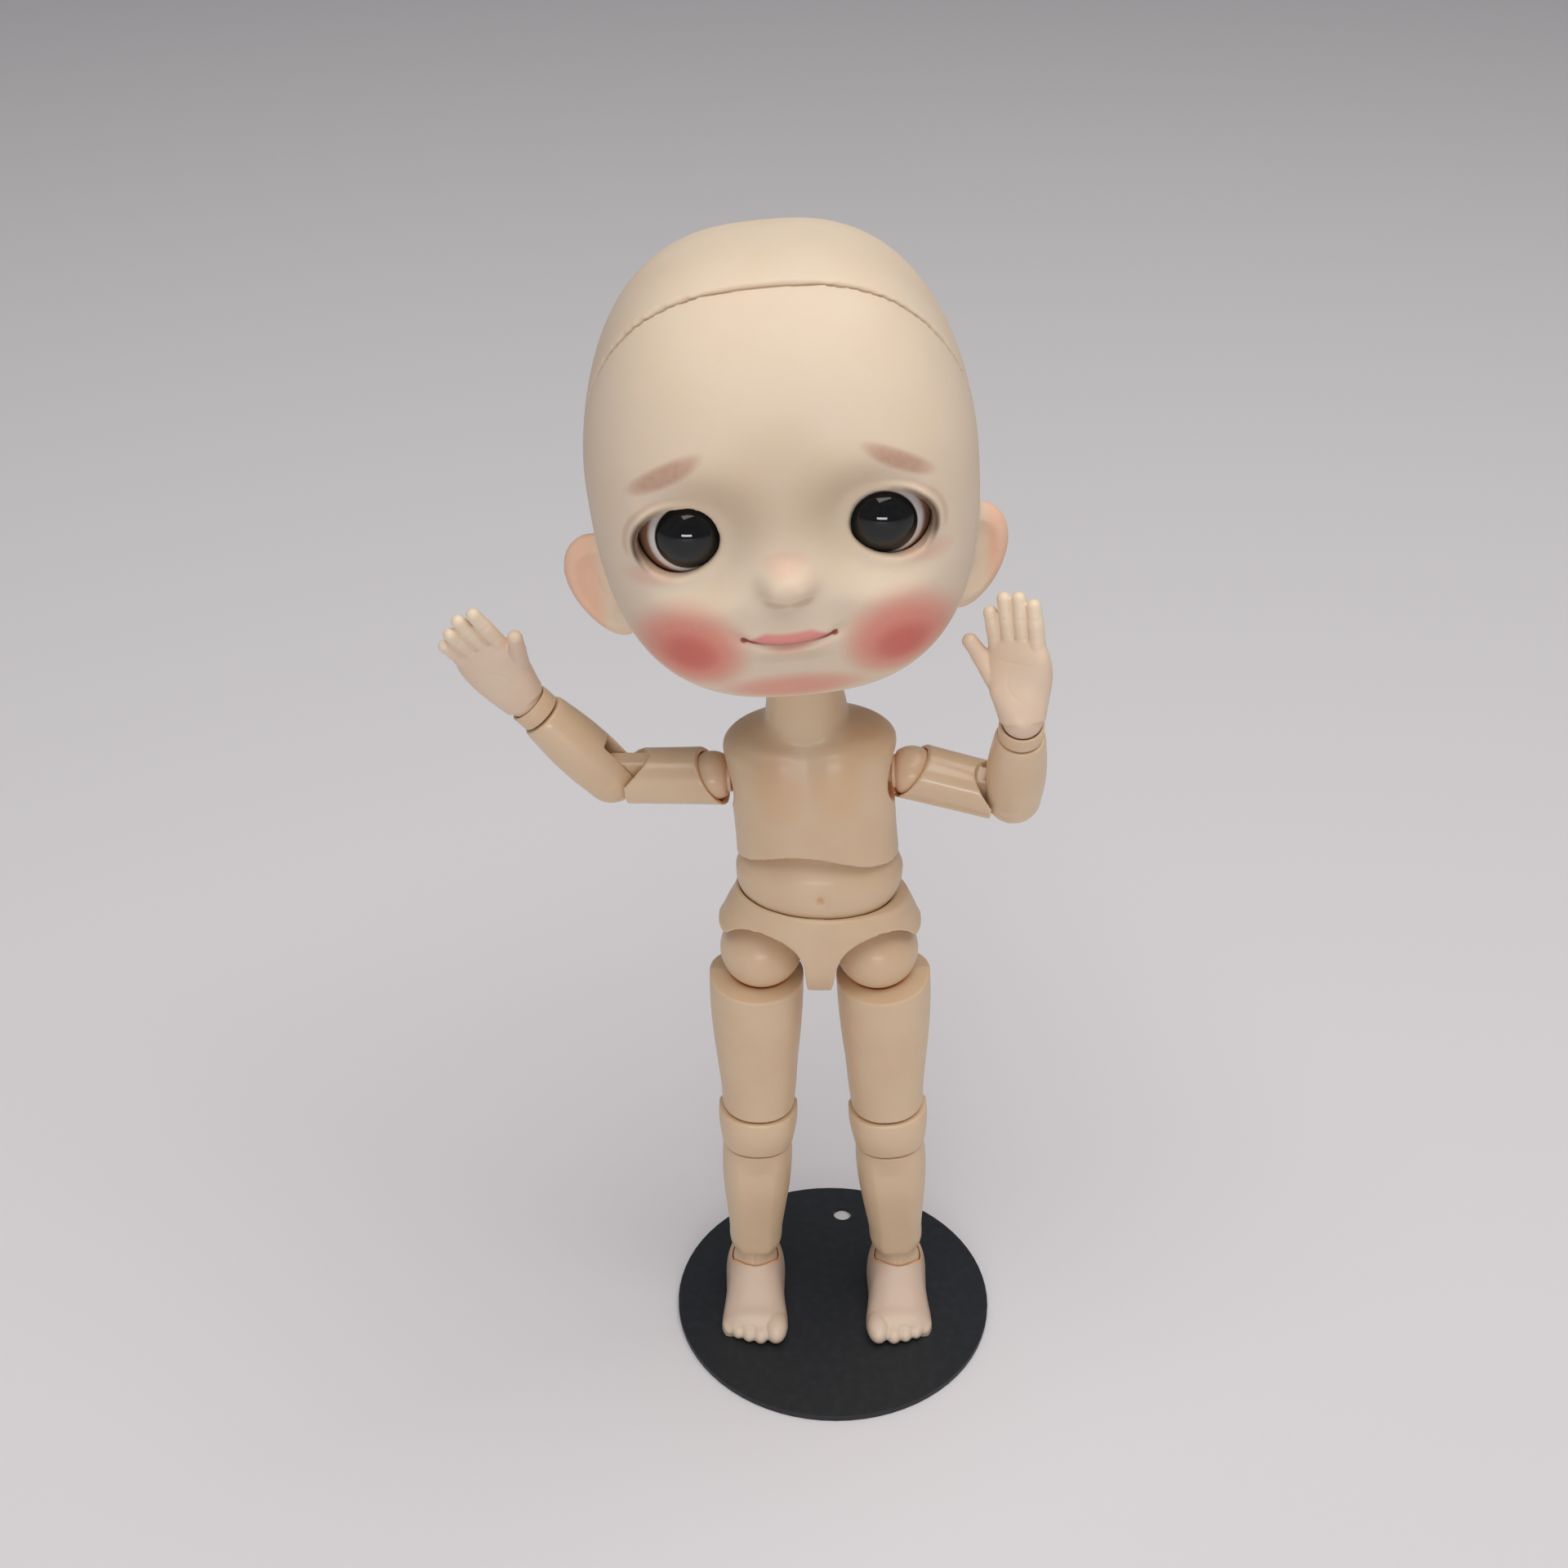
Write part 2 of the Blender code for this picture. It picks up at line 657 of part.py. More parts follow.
def make_shoulder_ball(carrier, side):
    """Turned about the line through both shoulders: stem, disc, cone and ball."""
    out = -SHOULDER_DISC_OUT
    face = out - SHOULDER_DISC_THICKNESS
    profile = [(0, -SHOULDER_STEM_LENGTH), (SHOULDER_STEM_RADIUS, -SHOULDER_STEM_LENGTH)]
    profile.append((SHOULDER_STEM_RADIUS, face))
    disc = math.sqrt(SHOULDER_DISC_RADIUS ** 2 - face ** 2)
    profile.append((disc, face))
    profile.append((disc, out))
    profile += arc(SHOULDER_BALL_RADIUS, 0, -SHOULDER_CONE_END, math.pi / 2, 6)
    obj = turned(side_name(side) + "_shoulder_ball", profile)
    obj.data.transform(Matrix.Rotation(side * math.pi / 2, 4, "Y"))
    return piece(obj, carrier, JOINT)


def bend_frame(along, towards):
    """Axes with Z along a limb and X towards the side that it bends to."""
    z = along.normalized()
    x = (towards - towards.dot(z) * z).normalized()
    y = z.cross(x)
    return Matrix((x, y, z)).transposed()


def make_upper_arm(carrier, side):
    name = side_name(side)
    start = -ARM_END_BACK - OVERRUN
    arm = limb(name + "_upper_arm", start, ARM_LENGTH, ARM_HALF_WIDTH, ARM_HALF_DEPTH, ARM_SHARES, ROUND, 2.1)
    reach = ARM_HALF_WIDTH + OVERRUN
    rise = reach * math.tan(ARM_END_SLOPE)
    far = start - reach
    slant = [(-reach, -rise), (reach, rise), (reach, far), (-reach, far)]
    cut(arm, prism("slant", slant, -reach, reach, "Y"))
    cut(arm, ball("cup", SHOULDER_BALL_RADIUS + BALL_GAP))
    cut(arm, block("rim", (-reach, -reach, ARM_LENGTH - ELBOW_RIM_BACK), (reach, reach, ARM_LENGTH + reach)))
    cut(arm, ball("elbow_seat", ELBOW_RADIUS + BALL_GAP, (0, 0, ARM_LENGTH)))
    pivot = Vector((0, 0, ARM_LENGTH))
    fold = Vector((math.sin(ELBOW_MOST_BEND), 0, math.cos(ELBOW_MOST_BEND)))
    room = FOREARM_HALF_WIDTH * max(share[1] for share in FOREARM_SHARES) + SEAM_GAP
    cut(arm, rod("fold", room, pivot, pivot + fold * FOREARM_LENGTH))
    half, radius = ELBOW_TONGUE_HALF, ELBOW_TONGUE_RADIUS
    root = ARM_LENGTH - ELBOW_RADIUS - ELBOW_TONGUE_RADIUS
    tongue = prism("tongue", tongue_outline(0, ARM_LENGTH, radius, root), -half, half, "Y")
    add(arm, tongue)
    pin_reach = ELBOW_PIN_HALF_LENGTH + SEAM_GAP
    bore = ELBOW_PIN_RADIUS + PIN_GAP
    cut(arm, rod("bore", bore, (0, -pin_reach, ARM_LENGTH), (0, pin_reach, ARM_LENGTH)))
    return piece(arm, carrier, SKIN)


def make_forearm(carrier, side):
    name = side_name(side)
    arm = limb(
        name + "_forearm", 0, FOREARM_LENGTH, FOREARM_HALF_WIDTH, FOREARM_HALF_DEPTH, FOREARM_SHARES, ROUND, 2.1
    )
    add(arm, ball("knuckle", ELBOW_RADIUS))
    half = ELBOW_TONGUE_HALF + SEAM_GAP
    room = ELBOW_TONGUE_RADIUS + SEAM_GAP
    reach = FOREARM_HALF_WIDTH + OVERRUN
    lean = ELBOW_MOST_BEND - math.pi / 2
    crown = arc(room, 0, math.pi / 2 + lean, math.pi, 4)
    rise = crown[0][1] + (reach - crown[0][0]) * math.tan(lean)
    slot = [(-room, -reach), (reach, -reach), (reach, rise)] + crown
    cut(arm, prism("slot", slot, -half, half, "Y"))
    pin_reach = ELBOW_PIN_HALF_LENGTH + SEAM_GAP
    cut(arm, rod("bore", ELBOW_PIN_RADIUS + PIN_GAP, (0, -pin_reach, 0), (0, pin_reach, 0)))
    deep = FOREARM_LENGTH - WRIST_STEM_DEPTH - SEAM_GAP
    end = FOREARM_LENGTH + OVERRUN
    cut(arm, rod("wrist_bore", WRIST_STEM_RADIUS + PIN_GAP, (0, 0, deep), (0, 0, end)))
    piece(arm, carrier, SKIN)
    low, high = (0, -ELBOW_PIN_HALF_LENGTH, 0), (0, ELBOW_PIN_HALF_LENGTH, 0)
    piece(rod(name + "_elbow_pin", ELBOW_PIN_RADIUS, low, high, SMALL_ROUND), carrier, STEEL, 0.3, 1.0)


def make_wrist(carrier, side):
    room = HAND_BALL_RADIUS + BALL_GAP
    rim_angle = -math.asin((HAND_PIVOT_OUT - WRIST_RIM) / room)
    profile = [(0, -WRIST_STEM_DEPTH), (WRIST_STEM_RADIUS, -WRIST_STEM_DEPTH), (WRIST_STEM_RADIUS, SEAM_GAP)]
    profile += [(WRIST_RADIUS, SEAM_GAP), (WRIST_RADIUS, WRIST_RIM)]
    profile += arc(room, HAND_PIVOT_OUT, rim_angle, -math.pi / 2, 5)
    obj = turned(side_name(side) + "_wrist_cup", profile, ROUND)
    return piece(obj, carrier, PALE)


def finger(name, radius, length, count=FINGER_ROUND):
    """A finger from the origin up Z, slimmer at its tip and round at its end."""
    profile = [(0, 0)] + [(radius * wide, length * along) for along, wide in FINGER_TAPER_SHARES] + [(0, length)]
    return turned(name, profile, count)


def make_hand(carrier, side):
    """Palm to -Y; the thumb is towards the head."""
    thumb_side = -side
    hand = limb(
        side_name(side) + "_hand", PALM_START, PALM_LENGTH, PALM_HALF_WIDTH, PALM_HALF_DEPTH, PALM_SHARES, HAND_ROUND, 2.6
    )
    add(hand, ball("base", HAND_BALL_RADIUS, count=HAND_ROUND))
    knuckles = PALM_LENGTH - FINGER_RADIUS * 2
    for place, long, fan in FINGER_SHARES:
        digit = finger("digit", FINGER_RADIUS, FINGER_LENGTH * long + FINGER_RADIUS)
        digit.data.transform(Matrix.Rotation(thumb_side * math.radians(fan), 4, "Y"))
        digit.data.transform(Matrix.Translation((thumb_side * PALM_HALF_WIDTH * place, 0, knuckles)))
        add(hand, digit)
    thumb = finger("thumb", THUMB_RADIUS, THUMB_LENGTH)
    thumb.data.transform(Matrix.Rotation(THUMB_LIFT, 4, "X"))
    thumb.data.transform(Matrix.Rotation(thumb_side * THUMB_ANGLE, 4, "Y"))
    root = PALM_HALF_WIDTH - THUMB_RADIUS * THUMB_ROOT_SHARE
    thumb.data.transform(Matrix.Translation((thumb_side * root, 0, HAND_BALL_RADIUS)))
    add(hand, thumb)
    return piece(hand, carrier, PALE)


# Legs


def notch(name, edge, level, angle, reach):
    """A wedge behind an edge at one level, open to the back, tilted up by angle."""
    far = edge + reach
    outline = [(edge, level), (far, level), (far, level + reach * math.tan(angle))]
    return prism(name, outline, -reach, reach)


def hinge_slot(name, level, opens_to, reach):
    """The slot that a knee tongue turns in, open to the back."""
    room = KNEE_TONGUE_RADIUS + SEAM_GAP
    half = KNEE_TONGUE_HALF + SEAM_GAP
    front = KNEE_PIN_BACK - room
    away = 1 if opens_to < level else -1
    low, high = sorted((opens_to, level + away * room))
    return block(name, (-half, front, low), (half, reach, high))


def tongue_outline(across, level, radius, root):
    """The side view of a hinge tongue: round about the pin line, straight down to its root."""
    away = 1 if root < level else -1
    outline = [(across + radius, root)]
    for turn_out, rise in arc(radius, 0, 0, math.pi, 10):
        outline.append((across + turn_out, level + away * rise))
    outline.append((across - radius, root))
    return outline


def hinge_tongue(name, level, root):
    """A knee tongue: a disc on the pin line with a neck to its root."""
    outline = tongue_outline(KNEE_PIN_BACK, level, KNEE_TONGUE_RADIUS, root)
    return prism(name, outline, -KNEE_TONGUE_HALF, KNEE_TONGUE_HALF)


def knee_bore(name, level):
    reach = KNEE_PIN_HALF_LENGTH + SEAM_GAP
    radius = KNEE_PIN_RADIUS + PIN_GAP
    return rod(name, radius, (-reach, KNEE_PIN_BACK, level), (reach, KNEE_PIN_BACK, level), ROUND)


def knee_pin(name, level, carrier, origin):
    reach = KNEE_PIN_HALF_LENGTH
    obj = rod(name, KNEE_PIN_RADIUS, (-reach, KNEE_PIN_BACK, level), (reach, KNEE_PIN_BACK, level), SMALL_ROUND)
    return piece(obj, carrier, STEEL, 0.3, 1.0, origin)


KNEE_TOP = -(THIGH_LENGTH + SEAM_GAP)
KNEE_BOTTOM = KNEE_TOP - KNEE_HEIGHT
SHIN_TOP = KNEE_BOTTOM - SEAM_GAP
SHIN_BOTTOM = SHIN_TOP - SHIN_LENGTH
UPPER_PIN = -THIGH_LENGTH + KNEE_PIN_SET
LOWER_PIN = SHIN_TOP - KNEE_PIN_SET
ANKLE = SHIN_BOTTOM - ANKLE_DROP


def make_thigh(carrier, side):
    name = side_name(side)
    thigh = limb(
        name + "_thigh", THIGH_CROWN, -THIGH_LENGTH, THIGH_HALF_WIDTH, THIGH_HALF_DEPTH, THIGH_SHARES, FINE_ROUND, 2.1, side
    )
    reach = THIGH_HALF_WIDTH + OVERRUN
    front_drop = reach * math.tan(THIGH_RIM_FRONT)
    back_drop = reach * math.tan(THIGH_RIM_BACK)
    roof = [(0, 0), (-reach, -front_drop), (-reach, reach), (reach, reach), (reach, -back_drop)]
    cut(thigh, prism("roof", roof, -reach, reach))
    cut(thigh, ball("cup", HIP_BALL_RADIUS + BALL_GAP, count=FINE_ROUND))
    cut(thigh, notch("notch", KNEE_PIN_BACK - KNEE_NOTCH_LEAD, -THIGH_LENGTH - MERGE, LIMB_NOTCH, reach))
    cut(thigh, hinge_slot("slot", UPPER_PIN, -THIGH_LENGTH - OVERRUN, reach))
    cut(thigh, knee_bore("bore", UPPER_PIN))
    piece(thigh, carrier, SKIN)
    knee_pin(name + "_upper_knee_pin", UPPER_PIN, carrier, (0, 0, 0))


def make_knee(carrier, side):
    origin = (0, KNEE_PIN_BACK, UPPER_PIN)
    knee = limb(
        side_name(side) + "_knee", KNEE_TOP, KNEE_BOTTOM, KNEE_HALF_WIDTH, KNEE_HALF_DEPTH, KNEE_SHARES, ROUND, 2.3
    )
    reach = KNEE_HALF_WIDTH + OVERRUN
    cut(knee, notch("upper_notch", KNEE_PIN_BACK, KNEE_TOP + MERGE, -KNEE_NOTCH, reach))
    cut(knee, notch("lower_notch", KNEE_PIN_BACK, KNEE_BOTTOM - MERGE, KNEE_NOTCH, reach))
    middle = (KNEE_TOP + KNEE_BOTTOM) / 2
    add(knee, hinge_tongue("upper_tongue", UPPER_PIN, middle))
    add(knee, hinge_tongue("lower_tongue", LOWER_PIN, middle))
    cut(knee, knee_bore("upper_bore", UPPER_PIN))
    cut(knee, knee_bore("lower_bore", LOWER_PIN))
    return piece(knee, carrier, SKIN, origin=origin)


def make_shin(carrier, side):
    name = side_name(side)
    origin = (0, KNEE_PIN_BACK, LOWER_PIN)
    shin = limb(name + "_shin", SHIN_TOP, SHIN_BOTTOM, SHIN_HALF_WIDTH, SHIN_HALF_DEPTH, SHIN_SHARES, ROUND, 2.1)
    reach = SHIN_HALF_WIDTH + OVERRUN
    cut(shin, notch("notch", KNEE_PIN_BACK - KNEE_NOTCH_LEAD, SHIN_TOP + MERGE, -LIMB_NOTCH, reach))
    cut(shin, hinge_slot("slot", LOWER_PIN, SHIN_TOP + OVERRUN, reach))
    cut(shin, knee_bore("bore", LOWER_PIN))
    deep = SHIN_BOTTOM + ANKLE_STEM_DEPTH + SEAM_GAP
    bore = ANKLE_STEM_RADIUS + PIN_GAP
    cut(shin, rod("ankle_bore", bore, (0, 0, SHIN_BOTTOM - OVERRUN), (0, 0, deep)))
    piece(shin, carrier, SKIN, origin=origin)
    knee_pin(name + "_lower_knee_pin", LOWER_PIN, carrier, origin)


def make_ankle(carrier, side):
    shoulder = SHIN_BOTTOM - SEAM_GAP - ANKLE
    top = SHIN_BOTTOM + ANKLE_STEM_DEPTH - ANKLE
    join = math.acos(ANKLE_NECK_RADIUS / ANKLE_BALL_RADIUS)
    profile = [(0, -ANKLE_BALL_RADIUS)] + arc(ANKLE_BALL_RADIUS, 0, -math.pi / 2, join, 6)[1:]
    profile += [(ANKLE_NECK_RADIUS, shoulder), (ANKLE_STEM_RADIUS, shoulder), (ANKLE_STEM_RADIUS, top), (0, top)]
    return piece(turned(side_name(side) + "_ankle", profile, ROUND), carrier, JOINT)


def make_foot(carrier, side):
    """Built on z = 0 with the ankle over the origin; the big toe is on the inner side."""
    name = side_name(side)
    rings = []
    count = ROUND
    for along, wide, tall in FOOT_SHARES:
        y = FOOT_HEEL - (FOOT_HEEL + FOOT_FRONT) * along
        height = FOOT_HEIGHT * tall
        ring = []
        for x, z, _ in oval(0, FOOT_HALF_WIDTH * wide, height, 0, 0, count, 2.4):
            ring.append(Vector((x, y, z)))
        rings.append(ring)
    foot = skin_rings(name + "_foot", rings)
    for place, big, reach in TOE_SHARES:
        radius = BIG_TOE_RADIUS * big
        centre = (-side * FOOT_HALF_WIDTH * place, radius * TOE_LONG_SHARE - TOE_REACH * reach, radius * TOE_RISE_SHARE)
        toe = ball("toe", radius, count=TOE_ROUND)
        toe.data.transform(Matrix.Diagonal((1, TOE_LONG_SHARE, TOE_TALL_SHARE, 1)))
        toe.data.transform(Matrix.Translation(centre))
        add(foot, toe)
    wide = FOOT_HALF_WIDTH * 2
    far = TOE_REACH + OVERRUN
    cut(foot, block("ground", (-wide, -far, -FOOT_HEIGHT * 2), (wide, far, 0)))
    cut(foot, block("collar", (-wide, -far, FOOT_COLLAR), (wide, far, FOOT_HEIGHT * 2)))
    cut(foot, ball("cup", ANKLE_BALL_RADIUS + BALL_GAP, (0, 0, ANKLE_HEIGHT)))
    pocket = SOLE_MAGNET_RADIUS + MAGNET_GAP
    top = SOLE_MAGNET_DEPTH + MAGNET_GAP * 2
    cut(foot, rod("pocket", pocket, (0, -SOLE_MAGNET_FORWARD, -OVERRUN), (0, -SOLE_MAGNET_FORWARD, top)))
    origin = (0, 0, ANKLE_HEIGHT)
    piece(foot, carrier, PALE, origin=origin)
    low = (0, -SOLE_MAGNET_FORWARD, MAGNET_GAP)
    high = (0, -SOLE_MAGNET_FORWARD, MAGNET_GAP + SOLE_MAGNET_DEPTH)
    piece(rod(name + "_foot_magnet", SOLE_MAGNET_RADIUS, low, high), carrier, STEEL, 0.3, 1.0, origin)


# Head: its own frame has z = 0 under the chin's line and y = 0 in the middle


def head_size(point, grow, floor):
    """Under 1 inside the head: an egg-like crown on a squarer jaw, with a level floor where it is higher."""
    rise = point.z - HEAD_CENTRE_RISE
    across = (abs(point.x) / (HEAD_HALF_WIDTH + grow)) ** HEAD_ROUND_POWER
    across += (abs(point.y) / (HEAD_HALF_DEPTH + grow)) ** HEAD_ROUND_POWER
    if rise > 0:
        return across + (rise / (HEAD_CROWN_HEIGHT + grow)) ** HEAD_CROWN_POWER
    jaw = min(HEAD_JAW_HEIGHT + grow, HEAD_CENTRE_RISE - floor)
    return across + (-rise / jaw) ** HEAD_JAW_POWER


def head_wall(centre, way, grow, floor):
    """How far the head's surface is from a point inside it, one way."""
    low, high = 0, HEAD_HALF_WIDTH + HEAD_HALF_DEPTH + HEAD_JAW_HEIGHT
    for _ in range(40):
        middle = (low + high) / 2
        low, high = (middle, high) if head_size(centre + way * middle, grow, floor) < 1 else (low, middle)
    return low


def head_form(name, grow, floor, around, levels, face):
    """The head's rounded form, with the face's relief on its front when face is set."""
    centre = Vector((0, 0, HEAD_CENTRE_RISE))
    profile = []
    for level in range(1, levels):
        tilt = -math.pi / 2 + math.pi * level / levels
        ring = []
        for i in range(around):
            turn = 2 * math.pi * i / around
            way = Vector((math.cos(tilt) * math.cos(turn), math.cos(tilt) * math.sin(turn), math.sin(tilt)))
            point = centre + way * head_wall(centre, way, grow, floor)
            if face:
                point.y -= face_relief(point)
            ring.append(point)
        profile.append(ring)
    return skin_rings(name, profile)


def bump(x, z, at_x, at_z, wide, tall):
    return math.exp(-(((x - at_x) / wide) ** 2) / 2 - (((z - at_z) / tall) ** 2) / 2)


def face_relief(point):
    """How far the face stands out at a point on the front of the head."""
    if point.y > 0:
        return 0
    x, z = point.x, point.z
    front = min(1, -point.y / HEAD_HALF_DEPTH * FACE_FADE_SHARE)
    side = abs(x)
    out = NOSE_OUT * bump(x, z, 0, NOSE_HEIGHT, NOSE_WIDTH, NOSE_TALL)
    out += MOUTH_OUT * bump(x, z, 0, MOUTH_HEIGHT, MOUTH_WIDTH, MOUTH_TALL)
    out += CHEEK_OUT * bump(side, z, CHEEK_SPREAD, CHEEK_HEIGHT, CHEEK_SIZE, CHEEK_SIZE)
    out -= BROW_IN * bump(side, z, HEAD_HALF_WIDTH * EYE_SPREAD_SHARE, EYE_HEIGHT, BROW_SIZE, BROW_SIZE)
    smile = MOUTH_HEIGHT + SMILE_LIFT * (x / MOUTH_WIDTH) ** 2
    out -= SMILE_DEPTH * bump(x, z, 0, smile, MOUTH_WIDTH, SMILE_TALL)
    return out * front


def cap_plane():
    """A point on the cap's seam plane, and its normal towards the cap."""
    top = HEAD_CENTRE_RISE + HEAD_CROWN_HEIGHT
    point = Vector((0, CAP_SEAM_SET - HEAD_HALF_DEPTH, top - CAP_SEAM_DROP))
    normal = Vector((0, math.sin(CAP_SLOPE), math.cos(CAP_SLOPE)))
    return point, normal


def half_space(name, point, normal):
    """A large box on the far side of a plane."""
    reach = HEAD_HALF_WIDTH + HEAD_HALF_DEPTH + HEAD_CROWN_HEIGHT + HEAD_JAW_HEIGHT
    obj = block(name, (-reach, -reach, 0), (reach, reach, reach))
    turn = normal.to_track_quat("Z", "X").to_matrix().to_4x4()
    obj.data.transform(Matrix.Translation(point) @ turn)
    return obj


def wall_point(angle):
    """The middle of the head's wall on the seam plane, angle up from the side."""
    point, normal = cap_plane()
    centre = Vector((0, 0, HEAD_CENTRE_RISE))
    centre -= (centre - point).dot(normal) * normal
    up = Vector((0, -math.cos(CAP_SLOPE), math.sin(CAP_SLOPE)))
    way = Vector((math.cos(angle), 0, 0)) + up * math.sin(angle)
    reach = head_wall(centre, way, 0, HEAD_CENTRE_RISE - HEAD_JAW_HEIGHT)
    return centre + way * (reach - HEAD_WALL * CAP_MAGNET_SET_SHARE)


def make_ear(side):
    ear = ball("ear", EAR_HALF_HEIGHT, count=EAR_ROUND)
    ear.data.transform(Matrix.Diagonal((EAR_HALF_WIDTH / EAR_HALF_HEIGHT, EAR_HALF_DEPTH / EAR_HALF_HEIGHT, 1, 1)))
    bowl = ball("bowl", EAR_HALF_HEIGHT * EAR_BOWL_SHARE, count=EAR_BOWL_ROUND)
    bowl.data.transform(Matrix.Diagonal((EAR_HALF_WIDTH / EAR_HALF_HEIGHT, EAR_HALF_DEPTH / EAR_HALF_HEIGHT, 1, 1)))
    out = side * EAR_HALF_WIDTH * EAR_BOWL_OUT_SHARE
    bowl.data.transform(Matrix.Translation((out, -EAR_HALF_DEPTH * EAR_BOWL_FORWARD_SHARE, 0)))
    cut(ear, bowl)
    ear.data.transform(Matrix.Rotation(side * EAR_TILT, 4, "Y"))
    ear.data.transform(Matrix.Translation((side * (HEAD_HALF_WIDTH - EAR_SET), -EAR_FORWARD, EAR_HEIGHT)))
    return ear


def make_head(carrier, cap_carrier):
    origin = (0, -HEAD_BACK, HEAD_PIVOT_RISE)
    pivot = Vector(origin)
    point, normal = cap_plane()
    room = head_form("room", -HEAD_WALL, HEAD_FLOOR, ROOM_AROUND, ROOM_LEVELS, False)
    chin = HEAD_CENTRE_RISE - HEAD_JAW_HEIGHT
    shell = head_form("head_shell", 0, chin, HEAD_AROUND, HEAD_LEVELS, True)
    for side in (RIGHT, LEFT):
        add(shell, make_ear(side))
    cut(shell, half_space("behind", point - normal * SEAM_GAP / 2, normal))
    cap = head_form("head_cap", 0, chin, CAP_AROUND, CAP_LEVELS, False)
    keep(cap, half_space("behind", point + normal * SEAM_GAP / 2, normal))
    cap_room = head_form("cap_room", -HEAD_WALL, HEAD_FLOOR, ROOM_AROUND, ROOM_LEVELS, False)
    cut(shell, room)
    cut(cap, cap_room)
    seat = NECK_BALL_RADIUS + BALL_GAP + NECK_CUP_WALL + BALL_GAP
    cut(shell, ball("seat", seat, pivot, FINE_ROUND))
    deep = HEAD_PIVOT_RISE - chin + OVERRUN
    flare = turned("flare", [(0, 0), (deep * math.tan(NECK_FLARE), -deep), (0, -deep)], FINE_ROUND)
    flare.data.transform(Matrix.Translation(pivot))
    cut(shell, flare)
    for side in (RIGHT, LEFT):
        name = side_name(side)
        eye_place = Vector((side * HEAD_HALF_WIDTH * EYE_SPREAD_SHARE, EYE_SET - HEAD_HALF_DEPTH, EYE_HEIGHT))
        cut(shell, ball("eye_room", EYE_RADIUS + BALL_GAP, eye_place, FINE_ROUND))
        lids = rod("lids", EYE_OPEN_HALF_WIDTH, (0, 0, 0), (0, -HEAD_HALF_DEPTH, 0), FINE_ROUND)
        lids.data.transform(Matrix.Diagonal((1, 1, EYE_OPEN_HALF_HEIGHT / EYE_OPEN_HALF_WIDTH, 1)))
        lids.data.transform(Matrix.Rotation(side * EYE_OPEN_TILT, 4, "Y"))
        lids.data.transform(Matrix.Translation(eye_place))
        cut(shell, lids)
        front = eye_place + Vector((0, PUTTY_FRONT, 0))
        back = front + Vector((0, PUTTY_LENGTH, 0))
        lead = Vector((0, SEAM_GAP, 0))
        cut(shell, rod("putty_room", PUTTY_RADIUS + SEAM_GAP, front - lead, back + lead + lead))
        piece(ball(name + "_eye", EYE_RADIUS, eye_place, FINE_ROUND), carrier, BLACK, 0.08, 0.0, origin)
        putty = rod(name + "_eye_putty", PUTTY_RADIUS, front, back)
        cut(putty, ball("bed", EYE_RADIUS + BALL_GAP, eye_place, FINE_ROUND))
        piece(putty, carrier, PUTTY, 0.7, 0.0, origin)
        spot = wall_point(CAP_MAGNET_ANGLE if side == LEFT else math.pi - CAP_MAGNET_ANGLE)
        for way, host, owner, label in ((-1, shell, carrier, "shell"), (1, cap, cap_carrier, "cap")):
            face = spot + normal * way * SEAM_GAP / 2
            deep_end = face + normal * way * (CAP_MAGNET_DEPTH + MAGNET_GAP * 2)
            pocket = rod("pocket", CAP_MAGNET_RADIUS + MAGNET_GAP, face - normal * way * SEAM_GAP, deep_end, SMALL_ROUND)
            cut(host, pocket)
            start = face + normal * way * MAGNET_GAP
            magnet = rod(
                name + "_" + label + "_magnet", CAP_MAGNET_RADIUS, start, start + normal * way * CAP_MAGNET_DEPTH, SMALL_ROUND
            )
            piece(magnet, owner, STEEL, 0.3, 1.0, origin)
    piece(shell, carrier, FACE, 0.6, 0.0, origin)
    piece(cap, cap_carrier, FACE, 0.6, 0.0, origin)


